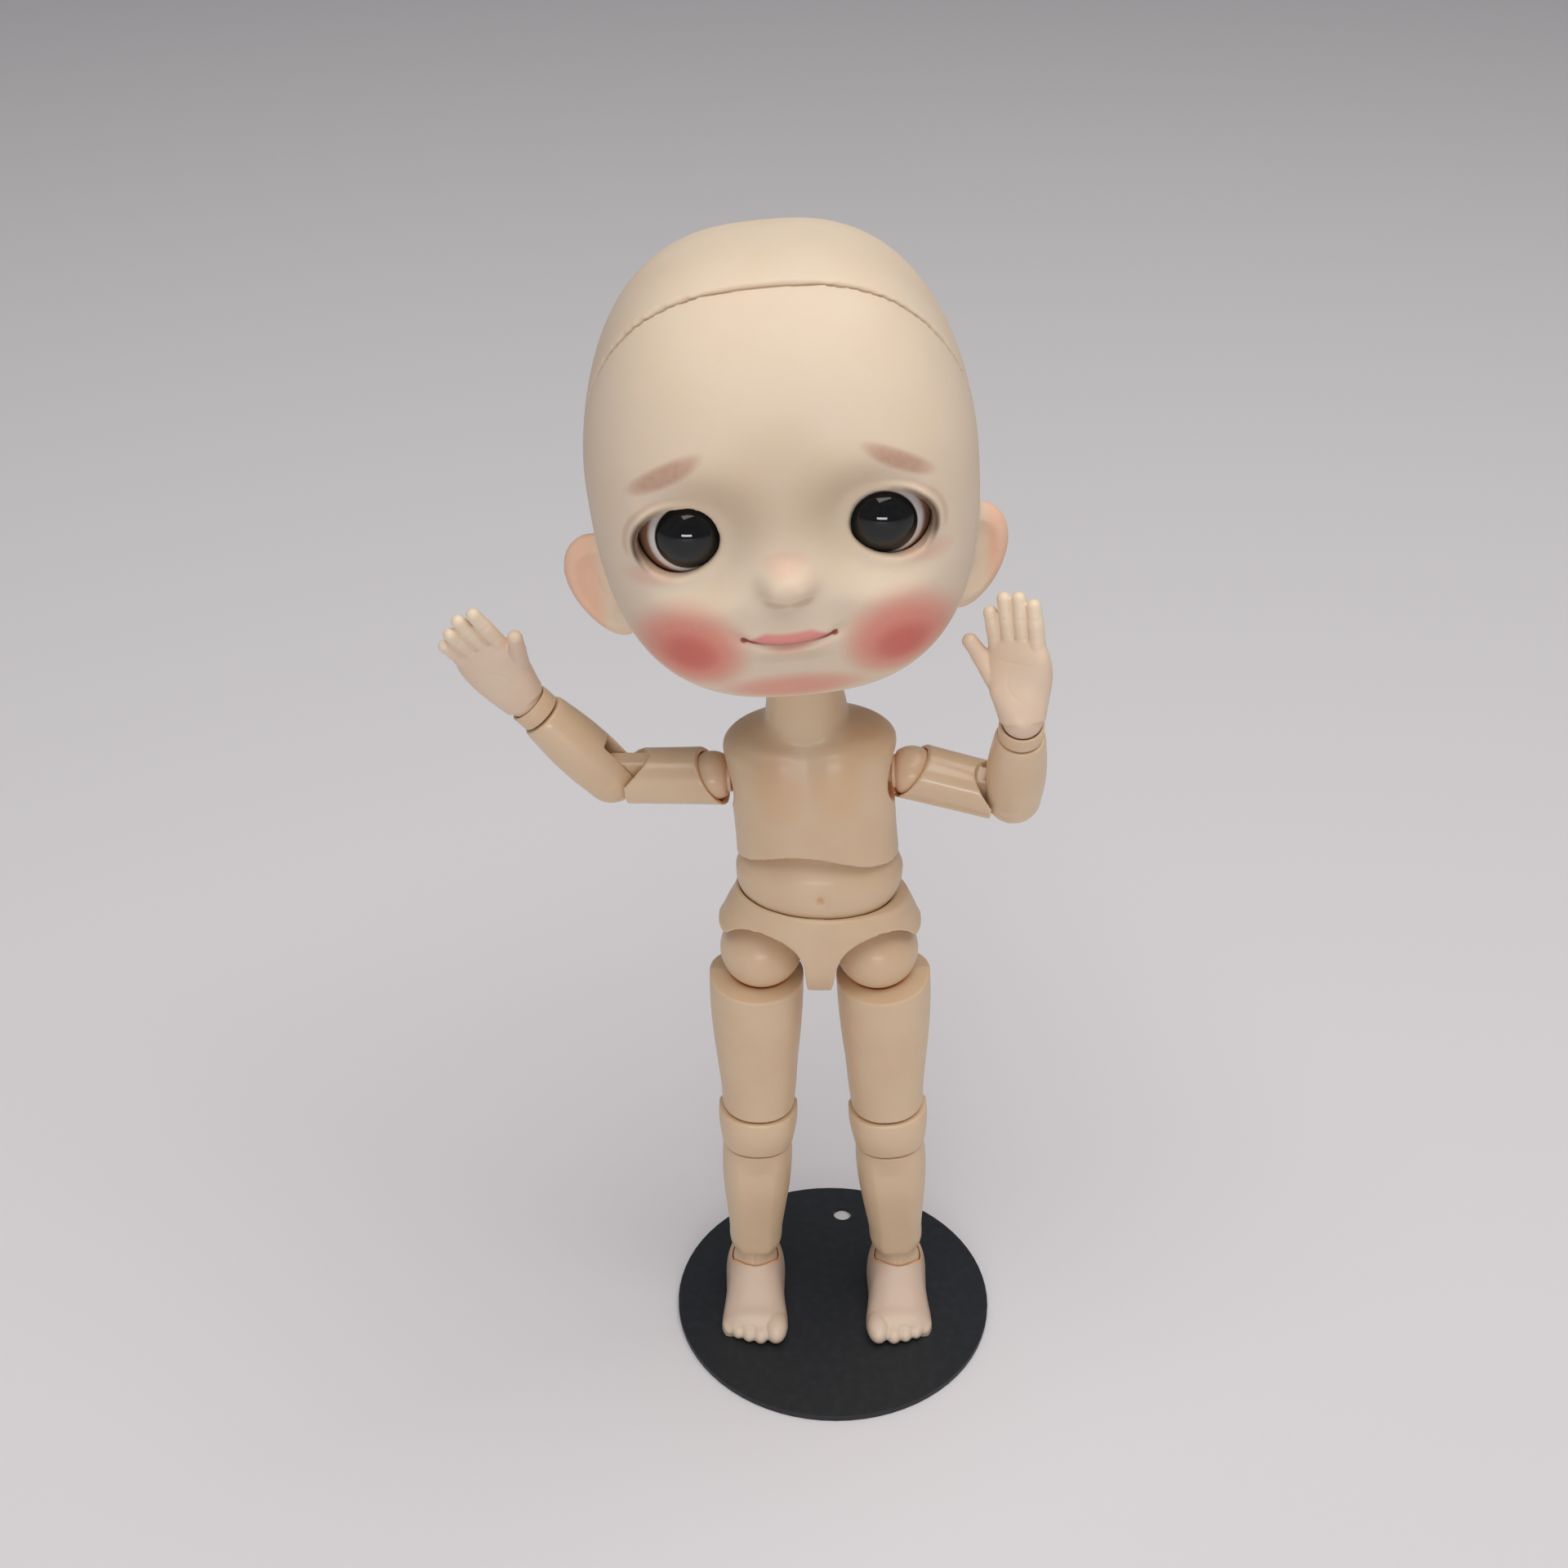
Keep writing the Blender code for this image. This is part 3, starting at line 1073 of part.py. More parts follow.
def build():
    clear_scene()
    doll = body("doll", None, (-CENTRE_X, -CENTRE_Y, 0))

    # The legs' lean follows from where hips and ankles are, and the hips' heights from the lean.
    hips = {}
    for side, hip_x, ankle_x in ((RIGHT, HIP_RIGHT_X, ANKLE_RIGHT_X), (LEFT, HIP_LEFT_X, ANKLE_LEFT_X)):
        lean = math.asin((ankle_x - hip_x) / -ANKLE)
        hips[side] = (Vector((hip_x, 0, ANKLE_HEIGHT - ANKLE * math.cos(lean))), lean)
    across = hips[LEFT][0] - hips[RIGHT][0]
    hip_tilt = math.atan2(-across.z, across.x)
    middle = (hips[LEFT][0] + hips[RIGHT][0]) / 2
    pelvis = body("pelvis_body", doll, middle, Matrix.Rotation(hip_tilt, 3, "Y"))
    make_pelvis(pelvis)

    belly = body("waist_bend", pelvis, (WAIST_SHIFT, 0, WAIST_RISE))
    make_belly(belly)
    chest_turn = Matrix.Rotation(-CHEST_LEAN - hip_tilt, 3, "Y") @ Matrix.Rotation(CHEST_YAW, 3, "Z")
    chest = body("chest_turn", belly, (CHEST_SHIFT, 0, CHEST_RISE), chest_turn)
    make_chest(chest)

    neck_ball = body("neck_turn", chest, (0, -NECK_FORWARD, NECK_PIVOT_HEIGHT))
    bpy.context.view_layer.update()
    level = neck_ball.matrix_world.to_3x3().inverted()
    head_frame = level @ Matrix.Rotation(-HEAD_ROLL, 3, "Y") @ Matrix.Rotation(HEAD_YAW, 3, "Z")
    neck_cup = body("neck_tilt", neck_ball, (0, 0, 0))
    head = body("head_nod", neck_cup, (0, 0, 0), head_frame)
    cap = body("cap_lift", head, (0, 0, 0))
    make_neck(neck_ball, neck_cup)
    make_head(head, cap)

    reaches = {
        RIGHT: (RIGHT_ARM_REACH, RIGHT_FOREARM_REACH, RIGHT_HAND_REACH),
        LEFT: (LEFT_ARM_REACH, LEFT_FOREARM_REACH, LEFT_HAND_REACH),
    }
    for side in (RIGHT, LEFT):
        name = side_name(side)
        arm_way, forearm_way, hand_way = reaches[side]
        shoulder = body(name + "_arm_swing", chest, (side * SHOULDER_HALF_SPAN, 0, SHOULDER_RISE))
        make_shoulder_ball(shoulder, side)
        bpy.context.view_layer.update()
        to_shoulder = shoulder.matrix_world.to_3x3().inverted()
        arm_frame = bend_frame(arm_way, forearm_way)
        arm = body(name + "_arm_raise", shoulder, (0, 0, 0), to_shoulder @ arm_frame)
        make_upper_arm(arm, side)
        forearm_frame = bend_frame(forearm_way, -arm_way)
        forearm = body(name + "_elbow", arm, (0, 0, ARM_LENGTH), arm_frame.inverted() @ forearm_frame)
        make_forearm(forearm, side)
        wrist = body(name + "_wrist_twist", forearm, (0, 0, FOREARM_LENGTH))
        make_wrist(wrist, side)
        back = Vector((0, 1, 0))
        z = hand_way.normalized()
        y = (back - back.dot(z) * z).normalized()
        hand_frame = Matrix((y.cross(z), y, z)).transposed()
        hand = body(name + "_wrist_bend", wrist, (0, 0, HAND_PIVOT_OUT), forearm_frame.inverted() @ hand_frame)
        make_hand(hand, side)

        place, lean = hips[side]
        turn = Matrix.Rotation(-lean, 3, "Y")
        to_pelvis = Matrix.Rotation(-hip_tilt, 3, "Y")
        hip = body(name + "_hip_swing", pelvis, to_pelvis @ (place - middle), to_pelvis @ turn)
        obj = ball(name + "_hip_ball", HIP_BALL_RADIUS, count=FINE_ROUND)
        piece(obj, hip, JOINT)
        thigh = body(name + "_hip_spread", hip, (0, 0, 0))
        make_thigh(thigh, side)
        knee = body(name + "_upper_knee", thigh, (0, KNEE_PIN_BACK, UPPER_PIN))
        make_knee(knee, side)
        shin = body(name + "_lower_knee", knee, (0, 0, LOWER_PIN - UPPER_PIN))
        make_shin(shin, side)
        ankle = body(name + "_ankle_twist", shin, (0, -KNEE_PIN_BACK, ANKLE - LOWER_PIN))
        make_ankle(ankle, side)
        foot = body(name + "_ankle_pitch", ankle, (0, 0, 0), turn.inverted())
        make_foot(foot, side)


build()
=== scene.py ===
# %% [markdown]
# # A small ball jointed doll
#
# The real doll is a set of hollow resin castings that turn on each other at balls, cups and pins.
# The frame holds those castings as plain solids on their joints. This script gives each one the
# surface that a finished doll has: soft cast edges, a sculpted face, fingers and toes, paint and gloss.

# %% Load the frame
import json
import math

import bmesh
import bpy
import numpy as np
from mathutils import Matrix, Vector


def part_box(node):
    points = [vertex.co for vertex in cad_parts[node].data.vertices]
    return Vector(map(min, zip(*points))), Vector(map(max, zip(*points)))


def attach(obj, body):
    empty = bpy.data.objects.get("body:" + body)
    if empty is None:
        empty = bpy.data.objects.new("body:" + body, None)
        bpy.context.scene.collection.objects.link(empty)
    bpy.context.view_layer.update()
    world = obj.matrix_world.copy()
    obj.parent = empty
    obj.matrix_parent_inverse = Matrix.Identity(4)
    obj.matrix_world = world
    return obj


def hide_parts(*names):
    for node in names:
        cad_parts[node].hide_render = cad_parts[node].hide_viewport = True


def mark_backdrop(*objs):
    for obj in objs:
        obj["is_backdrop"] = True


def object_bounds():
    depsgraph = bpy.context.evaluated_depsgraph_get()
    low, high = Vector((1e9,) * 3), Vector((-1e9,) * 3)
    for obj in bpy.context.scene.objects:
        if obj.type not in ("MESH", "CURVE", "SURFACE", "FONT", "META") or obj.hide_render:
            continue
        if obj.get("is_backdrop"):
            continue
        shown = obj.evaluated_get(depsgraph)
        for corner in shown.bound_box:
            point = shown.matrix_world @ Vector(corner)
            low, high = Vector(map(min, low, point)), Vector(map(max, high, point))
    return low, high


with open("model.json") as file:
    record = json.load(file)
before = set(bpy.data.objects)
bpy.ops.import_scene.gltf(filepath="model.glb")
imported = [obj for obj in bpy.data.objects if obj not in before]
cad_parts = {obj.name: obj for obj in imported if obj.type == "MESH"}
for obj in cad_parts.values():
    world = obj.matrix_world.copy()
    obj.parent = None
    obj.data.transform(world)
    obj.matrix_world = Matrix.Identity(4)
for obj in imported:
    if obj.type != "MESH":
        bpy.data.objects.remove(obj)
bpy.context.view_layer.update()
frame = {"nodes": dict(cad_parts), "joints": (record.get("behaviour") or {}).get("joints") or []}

# %% [markdown]
# ## Frames of the moving bodies
#
# Every piece is modelled in millimetres about the joint that carries it, as its mould was cut, and
# then laid onto that joint. The joints' places and axes come from the frame, so nothing drifts.

# %% Axes of each body
MM = 0.001
RIGHT, LEFT = -1, 1
SIDES = ((RIGHT, "right"), (LEFT, "left"))
UP = Vector((0, 0, 1))
BACK = Vector((0, 1, 0))
CAP_SLOPE = math.radians(67)
NECK_SEAT = Vector((0, -1.2, 2.0))
HAND_REACH = {RIGHT: Vector((-7.2, -2.7, 12.0)), LEFT: Vector((-1.4, 4.0, 13.5))}
JOINTS = {joint["name"]: joint for joint in frame["joints"]}


def place_of(name):
    return Vector(JOINTS[name]["pos_m"]) / MM


def axis_of(name):
    return Vector(JOINTS[name]["axis"]).normalized()


def axes(place, x, y):
    """A body's frame in millimetres, from its place and its first two axes."""
    z = x.cross(y).normalized()
    turn = Matrix((x, z.cross(x), z)).transposed()
    return Matrix.Translation(place) @ turn.to_4x4()


def limb_axes(place, y, z):
    return axes(place, y.cross(z).normalized(), y)


hips_middle = (place_of("right_hip_swing") + place_of("left_hip_swing")) / 2
pelvis_axes = axes(hips_middle, axis_of("waist_bend"), BACK)
belly_axes = axes(place_of("waist_bend"), axis_of("waist_bend"), BACK)
chest_x, chest_z = axis_of("right_arm_swing"), axis_of("chest_turn")
chest_axes = axes(place_of("chest_turn"), chest_x, chest_z.cross(chest_x))
neck_axes = axes(place_of("neck_turn"), chest_x, chest_z.cross(chest_x))
head_x, lift = axis_of("head_nod"), axis_of("cap_lift")
head_y = math.sin(CAP_SLOPE) * lift - math.cos(CAP_SLOPE) * head_x.cross(lift)
head_axes = axes(place_of("head_nod"), head_x, head_y) @ Matrix.Translation(-NECK_SEAT)
side_axes = {}
for side, name in SIDES:
    shoulder, elbow = place_of(name + "_arm_swing"), place_of(name + "_elbow")
    elbow_back = -axis_of(name + "_elbow")
    wrist_up = axis_of(name + "_wrist_twist")
    reach = HAND_REACH[side].normalized()
    leg_x = -axis_of(name + "_hip_swing")
    ankle = place_of(name + "_ankle_pitch")
    side_axes[side] = {
        "shoulder": axes(shoulder, chest_x, chest_z.cross(chest_x)),
        "arm": limb_axes(shoulder, elbow_back, (elbow - shoulder).normalized()),
        "forearm": limb_axes(elbow, elbow_back, wrist_up),
        "wrist": limb_axes(place_of(name + "_wrist_twist"), elbow_back, wrist_up),
        "hand": limb_axes(place_of(name + "_wrist_bend"), reach.cross(axis_of(name + "_wrist_bend")), reach),
        "leg": axes(place_of(name + "_hip_swing"), leg_x, BACK),
        "foot": axes(Vector((ankle.x, ankle.y, 0)), Vector((1, 0, 0)), BACK),
    }
print("head stands at", [round(v, 1) for v in head_axes.translation], "mm")

# %% [markdown]
# ## Mesh tools
#
# A limb is a tube whose rings follow a short table of shares, read as one smooth curve. Joints are
# cut into it with balls and rods, as a mould maker cuts them. Melting the result gives every edge
# the small round that a cast and sanded part has, where a plain cut would be razor sharp.

# %% Tubes, turned forms, cuts and melting
MERGE = 0.0001
AROUND = 96
RINGS = 64
TURN_STEPS = 72
OVERRUN = 4.0
SHARP = math.radians(40)
TURNED_ROUND = 0.08


def as_object(name, work):
    """Makes a mesh object of what was built, with its faces looking outwards."""
    bmesh.ops.recalc_face_normals(work, faces=work.faces)
    mesh = bpy.data.meshes.new(name)
    work.to_mesh(mesh)
    work.free()
    obj = bpy.data.objects.new(name, mesh)
    bpy.context.collection.objects.link(obj)
    return obj


def moved(obj, change):
    """Moves every vertex as change says; it takes and gives an array of places."""
    places = np.empty(len(obj.data.vertices) * 3)
    obj.data.vertices.foreach_get("co", places)
    obj.data.vertices.foreach_set("co", change(places.reshape(-1, 3)).ravel())
    obj.data.update()
    return obj


def with_modifier(obj, kind, **settings):
    """Adds one modifier and keeps what it makes of the mesh."""
    modifier = obj.modifiers.new(kind, kind)
    for key, value in settings.items():
        setattr(modifier, key, value)
    graph = bpy.context.evaluated_depsgraph_get()
    mesh = bpy.data.meshes.new_from_object(obj.evaluated_get(graph))
    obj.modifiers.clear()
    obj.data = mesh
    return obj


def carve(obj, tool, operation="DIFFERENCE"):
    """Cuts the tool out of a piece, or joins or keeps it, and removes the tool."""
    with_modifier(obj, "BOOLEAN", operation=operation, solver="MANIFOLD", object=tool)
    bpy.data.objects.remove(tool, do_unlink=True)
    return obj


def melt(obj, grain, rounds=5):
    """Fuses what overlaps and softens the edges, at a grain in millimetres."""
    with_modifier(obj, "REMESH", mode="VOXEL", voxel_size=grain)
    return with_modifier(obj, "SMOOTH", factor=0.5, iterations=rounds)


def smooth_rows(shares, places, columns=5):
    """Reads a table of shares at many places along it, as a smooth curve through its rows."""
    table = np.array([row + (0.0,) * (columns - len(row)) for row in shares])
    along, rows = table[:, 0], table[:, 1:]
    slopes = np.gradient(rows, along, axis=0)
    low = np.clip(np.searchsorted(along, places) - 1, 0, len(along) - 2)
    span = (along[low + 1] - along[low])[:, None]
    t = np.clip((places - along[low])[:, None] / span, 0, 1)
    start = (2 * t ** 3 - 3 * t ** 2 + 1) * rows[low] + (t ** 3 - 2 * t ** 2 + t) * span * slopes[low]
    end = (3 * t ** 2 - 2 * t ** 3) * rows[low + 1] + (t ** 3 - t ** 2) * span * slopes[low + 1]
    return start + end


def limb(name, start, end, half_width, half_depth, shares, power=2.2, side=1, rings=RINGS):
    """A closed tube from start to end; shares hold place, width, depth and, where needed, two shifts."""
    work = bmesh.new()
    bmesh.ops.create_cone(work, cap_ends=True, segments=AROUND, radius1=1, radius2=1, depth=1)
    upright = [edge for edge in work.edges if abs(edge.verts[0].co.z - edge.verts[1].co.z) > MERGE]
    bmesh.ops.subdivide_edges(work, edges=upright, cuts=rings)
    for vert in work.verts:
        vert.co.z = start + (end - start) * (vert.co.z + 0.5)
    obj = as_object(name, work)

    def shaped(places):
        along = (places[:, 2] - start) / (end - start)
        wide, deep, out, back = smooth_rows(shares, along).T
        turn = np.arctan2(places[:, 1], places[:, 0])
        across, depth = np.cos(turn), np.sin(turn)
        x = np.sign(across) * np.abs(across) ** (2 / power) * half_width * wide + half_width * out * side
        y = np.sign(depth) * np.abs(depth) ** (2 / power) * half_depth * deep + half_depth * back
        return np.stack((x, y, places[:, 2]), 1)

    return moved(obj, shaped)


def turned(name, profile, steps=TURN_STEPS):
    """Turns a profile of (radius, height) points about Z."""
    work = bmesh.new()
    verts = [work.verts.new((radius, 0, height)) for radius, height in profile]
    edges = [work.edges.new(pair) for pair in zip(verts, verts[1:])]
    turn = 2 * math.pi
    bmesh.ops.spin(work, geom=verts + edges, axis=UP, cent=(0, 0, 0), angle=turn, steps=steps, use_merge=True)
    bmesh.ops.remove_doubles(work, verts=work.verts, dist=MERGE)
    return as_object(name, work)


def softened(obj, width):
    """Rounds the sharp edges of a turned piece."""
    return with_modifier(obj, "BEVEL", width=width, segments=3, limit_method="ANGLE", angle_limit=SHARP)


def arc(radius, centre, low, high, steps=16):
    """Profile points on a circle about (0, centre), between two angles from the level."""
    angles = [low + (high - low) * i / steps for i in range(steps + 1)]
    return [(radius * math.cos(angle), centre + radius * math.sin(angle)) for angle in angles]


def ball(name, radius, centre=(0, 0, 0), scale=(1, 1, 1)):
    work = bmesh.new()
    bmesh.ops.create_uvsphere(work, u_segments=TURN_STEPS, v_segments=TURN_STEPS // 2, radius=radius)
    obj = as_object(name, work)
    obj.data.transform(Matrix.Translation(Vector(centre)) @ Matrix.Diagonal((*scale, 1)))
    return obj


def rod(name, radius, start, end):
    """A round bar from start to end."""
    start, end = Vector(start), Vector(end)
    work = bmesh.new()
    length = (end - start).length
    bmesh.ops.create_cone(
        work, cap_ends=True, segments=TURN_STEPS, radius1=radius, radius2=radius, depth=length
    )
    turn = (end - start).to_track_quat("Z", "Y").to_matrix().to_4x4()
    obj = as_object(name, work)
    obj.data.transform(Matrix.Translation((start + end) / 2) @ turn)
    return obj


def block(name, low, high):
    work = bmesh.new()
    bmesh.ops.create_cube(work, size=1)
    low, high = Vector(low), Vector(high)
    obj = as_object(name, work)
    obj.data.transform(Matrix.Translation((low + high) / 2) @ Matrix.Diagonal((*(high - low), 1)))
    return obj


def prism(name, outline, low, high, along_y=False):
    """Pushes an outline through from low to high, along X or along Y."""
    work = bmesh.new()
    points = [(a, low, b) if along_y else (low, a, b) for a, b in outline]
    face = work.faces.new([work.verts.new(point) for point in points])
    pushed = bmesh.ops.extrude_face_region(work, geom=[face])["geom"]
    step = (0, high - low, 0) if along_y else (high - low, 0, 0)
    bmesh.ops.translate(work, verts=[v for v in pushed if isinstance(v, bmesh.types.BMVert)], vec=step)
    return as_object(name, work)


def join(obj, *others):
    """Puts several closed forms into one mesh; melting then fuses them."""
    work = bmesh.new()
    work.from_mesh(obj.data)
    for other in others:
        work.from_mesh(other.data)
        bpy.data.objects.remove(other, do_unlink=True)
    work.to_mesh(obj.data)
    work.free()
    return obj


def transformed(obj, *matrices):
    for matrix in matrices:
        obj.data.transform(matrix)
    return obj


def bump(distance, size):
    """A soft hill: 1 in the middle, falling off over size."""
    return np.exp(-((distance / size) ** 2) / 2)


SWEEP_STEPS = 4


def cleared(obj, frame_of, joint, tool_frame, make_tool):
    """Cuts a parent's form out of its child, as it stands all through their joint's range."""
    place, axis = place_of(joint), axis_of(joint)
    low, high = (math.radians(limit) for limit in JOINTS[joint]["range_deg"])
    for i in range(SWEEP_STEPS + 1):
        turn = Matrix.Rotation(-(low + (high - low) * i / SWEEP_STEPS), 4, axis)
        swing = Matrix.Translation(place) @ turn @ Matrix.Translation(-place)
        carve(obj, transformed(make_tool(), frame_of.inverted() @ swing @ tool_frame))
    return obj


print("tools ready; tubes have", AROUND, "sides")

# %% [markdown]
# ## Paint and plastic
#
# The body is semi-gloss resin, tan-cream and a little translucent; the warm glow in its hollow seats is
# painted into their colour.
# The head is the same resin sprayed with a matte sealer that holds the pastel make-up. Materials are
# written as sums over the piece's own coordinates, through one small class.

# %% A class for shader sums


class Wire:
    """One output in a material; sums written with it become maths nodes."""

    def __init__(self, tree, socket):
        self.tree = tree
        self.socket = socket

    def node(self, kind, inputs, output=0, **settings):
        """Adds any node: inputs are its sockets by name or number, settings its own fields."""
        made = self.tree.nodes.new(kind)
        for key, value in settings.items():
            setattr(made, key, value)
        for key, value in inputs.items():
            if isinstance(value, Wire):
                self.tree.links.new(value.socket, made.inputs[key])
            else:
                made.inputs[key].default_value = value
        return Wire(self.tree, made.outputs[output])

    def maths(self, operation, *values):
        return self.node("ShaderNodeMath", dict(enumerate(values)), operation=operation)

    def __add__(self, other):
        return self.maths("ADD", self, other)

    def __sub__(self, other):
        return self.maths("SUBTRACT", self, other)

    def __rsub__(self, other):
        return self.maths("SUBTRACT", other, self)

    def __mul__(self, other):
        return self.maths("MULTIPLY", self, other)

    def __truediv__(self, other):
        return self.maths("DIVIDE", self, other)

    def __rtruediv__(self, other):
        return self.maths("DIVIDE", other, self)

    def __pow__(self, other):
        return self.maths("POWER", self, other)

    __radd__ = __add__
    __rmul__ = __mul__

    def size(self):
        """Its distance from zero."""
        return self.maths("ABSOLUTE", self)

    def ramp(self, low, high):
        """0 at low and 1 at high, smooth between; low may be the larger one."""
        sockets = {"Value": self, "From Min": low, "From Max": high}
        return self.node("ShaderNodeMapRange", sockets, interpolation_type="SMOOTHSTEP")

    def blend(self, off, on):
        """A colour between off and on."""
        return self.node("ShaderNodeMix", {0: self, 6: off, 7: on}, output=2, data_type="RGBA")


def colour(red, green, blue):
    """A colour for a socket."""
    return (red, green, blue, 1.0)


def noise_on(here, size, detail=3.0):
    """Noise from 0 to 1 whose grains are about size across."""
    return here.node("ShaderNodeTexNoise", {"Vector": here, "Scale": 1 / size, "Detail": detail})


def spot(look, across, up, wide, tall, tilt=0.0, soft=0.5):
    """A soft ellipse on the face: 1 inside, 0 outside."""
    c, s = math.cos(math.radians(tilt)), math.sin(math.radians(tilt))
    x, z = look.x - across, look.z - up
    along, over = x * c + z * s, z * c - x * s
    return ((along / wide) ** 2 + (over / tall) ** 2).ramp(1.0 + soft, 1.0 - soft)


class Finish:
    """A material that starts with its shader and the piece's place in millimetres on a body."""

    def __init__(self, name, frame_of, **sockets):
        self.material = bpy.data.materials.new(name)
        self.material.use_nodes = True
        tree = self.material.node_tree
        self.shader = tree.nodes["Principled BSDF"]
        for key, value in sockets.items():
            self.shader.inputs[key.replace("_", " ")].default_value = value
        coords = tree.nodes.new("ShaderNodeTexCoord")
        back = frame_of.inverted()
        self.here = Wire(tree, coords.outputs["Object"]).node(
            "ShaderNodeMapping",
            {
                "Vector": Wire(tree, coords.outputs["Object"]),
                "Location": back.translation,
                "Rotation": back.to_euler("XYZ"),
                "Scale": (1 / MM, 1 / MM, 1 / MM),
            },
        )
        split = [self.here.node("ShaderNodeSeparateXYZ", {0: self.here}, output=i) for i in range(3)]
        self.x, self.y, self.z = split

    def feed(self, socket, wire):
        wire.tree.links.new(wire.socket, self.shader.inputs[socket])

    def relief(self, height, depth, strength=1.0):
        """Bumps the surface by a height from 0 to 1, depth millimetres deep."""
        sockets = {"Height": height, "Distance": depth * MM, "Strength": strength}
        self.feed("Normal", height.node("ShaderNodeBump", sockets))


GLOW = (1.0, 0.42, 0.18)
SEAT_GLOW_PAINT = colour(0.92, 0.42, 0.17)


def seats_glow_painted(look, base, seats):
    """Paints an orange glow into the hollow seats, for the light that comes through the thin resin there;
    seats are (place, radius).
    """
    shine = None
    for (x, y, z), radius in seats:
        dx, dy, dz = look.x - x, look.y - y, look.z - z
        near = ((dx * dx + dy * dy + dz * dz) ** 0.5).ramp(radius + 0.30, radius + 0.08)
        shine = near if shine is None else near.maths("MAXIMUM", near, shine)
    return (shine * 0.85).blend(base, SEAT_GLOW_PAINT)


def resin(name, frame_of, main, deep, roughness, coat=0.0, tone=None, grain=0.006, seats=()):
    """Cast resin: soft cloudy colour, a fine sanded grain and an uneven polish, with painted glow in any
    seats given.
    """
    look = Finish(
        name,
        frame_of,
        Subsurface_Weight=0.18,
        Subsurface_Radius=GLOW,
        Subsurface_Scale=1.2 * MM,
        Coat_Weight=coat,
        Coat_Roughness=0.12,
        Specular_IOR_Level=0.45,
    )
    cloud = noise_on(look.here, 7.0)
    speck = noise_on(look.here, 0.35, 2.0)
    base = cloud.ramp(0.3, 0.75).blend(main, deep)
    if tone:
        base = tone(look, base)
    # Painted glow: the seats' colour is pushed towards orange, standing in for light through the thin resin
    if seats:
        base = seats_glow_painted(look, base, seats)
    look.feed("Base Color", base)
    polish = noise_on(look.here, 2.2, 4.0)
    look.feed("Roughness", roughness + (polish - 0.5) * 0.12)
    look.relief(speck * 0.5 + noise_on(look.here, 1.6) * 0.5, grain)
    return look


BODY = colour(0.745, 0.55, 0.365)
BODY_DEEP = colour(0.715, 0.51, 0.325)
JOINT = colour(0.75, 0.55, 0.365)
JOINT_DEEP = colour(0.73, 0.51, 0.325)
# A warmer, darker resin colour: painted shade in the navel and on the chest, and a tint on one shoulder
WARM_TINT_AND_SHADE = colour(0.74, 0.44, 0.235)
HAND = colour(0.78, 0.61, 0.465)
HAND_DEEP = colour(0.76, 0.565, 0.425)
FOOT = colour(0.67, 0.51, 0.40)
FOOT_DEEP = colour(0.65, 0.48, 0.37)
TIP = colour(0.88, 0.735, 0.56)
TOE_TIP = colour(0.76, 0.62, 0.475)
print("body resin", [round(v, 3) for v in BODY[:3]])

# %% [markdown]
# ## Handing a piece over
#
# A finished piece is laid onto its body, shaded smooth, given its material and tied to the body
# that moves it, and the plain solid that it stands for is hidden.

# %% One function hands a piece over
triangles = {}


def settle(obj, frame_of, body, slot, look, *nodes):
    """Lays a piece that was made in millimetres onto its body and ties it there."""
    obj.data.transform(frame_of @ Matrix.Scale(1, 4))
    obj.data.transform(Matrix.Scale(MM, 4))
    obj.data.shade_smooth()
    obj.data.materials.clear()
    obj.data.materials.append(look.material)
    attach(obj, body)
    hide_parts(*nodes)
    obj.data.calc_loop_triangles()
    triangles[obj.name] = len(obj.data.loop_triangles)
    print(obj.name, triangles[obj.name], "triangles")


# %% [markdown]
# ## Pelvis and belly
#
# The pelvis is a shallow shell with two leg arches at the front and back and a round seat for the
# belly. The belly is a barrel lying on its side: it rolls in that seat when the doll bends.

# %% Pelvis and belly
SEAM_GAP = 0.3
BALL_GAP = 0.25
PIN_GAP = 0.08
SEAT_GAP = 0.12
TORSO_GRAIN = 0.19
PELVIS_HALF_WIDTH = 11.9
PELVIS_HALF_DEPTH = 7.5
PELVIS_DROP = 3.9
PELVIS_RISE = 9.8
LEG_ARCH_RADIUS = 5.2
LEG_ARCH_TOP = 6.1
LEG_ARCH_OUTWARD = 0.1
CROTCH_HALF_WIDTH = 1.25
HIP_BALL_RADIUS = 4.85
PELVIS_SHARES = (
    (0.00, 0.72, 0.52, 0.0, 0.10), (0.10, 0.90, 0.78, 0.0, 0.10), (0.28, 0.99, 0.97, 0.0, 0.09),
    (0.45, 1.00, 1.00, 0.0, 0.06), (0.66, 0.985, 0.98, 0.0, 0.03), (0.84, 0.915, 0.95, 0.0, 0.01),
    (1.00, 0.87, 0.93),
)
PELVIS_FLARE_SHARES = (
    (0.00, 0.80, 0.91), (0.12, 0.83, 0.93), (0.25, 0.91, 0.97), (0.40, 1.00, 1.06), (0.60, 1.20, 1.30),
    (1.00, 1.40, 1.50),
)
PELVIS_TRIM = ((-12.0, 9.5), (-6.0, 9.0), (0.0, 8.75), (6.0, 8.5), (12.0, 8.1))
BELLY_HALF_WIDTH = 9.6
BELLY_RADIUS = 6.8
BELLY_RISE = 7.4
BELLY_SHARES = (
    (0.00, 1.00, 1.00), (0.12, 1.00, 0.99), (0.24, 0.955, 0.95), (0.32, 0.885, 0.92), (0.46, 0.80, 0.85),
    (0.70, 0.65, 0.68), (0.88, 0.42, 0.44), (1.00, 0.18, 0.18),
)
NAVEL_HALF_WIDTH = 0.24
NAVEL_HALF_HEIGHT = 0.34
NAVEL_DEPTH = 0.5


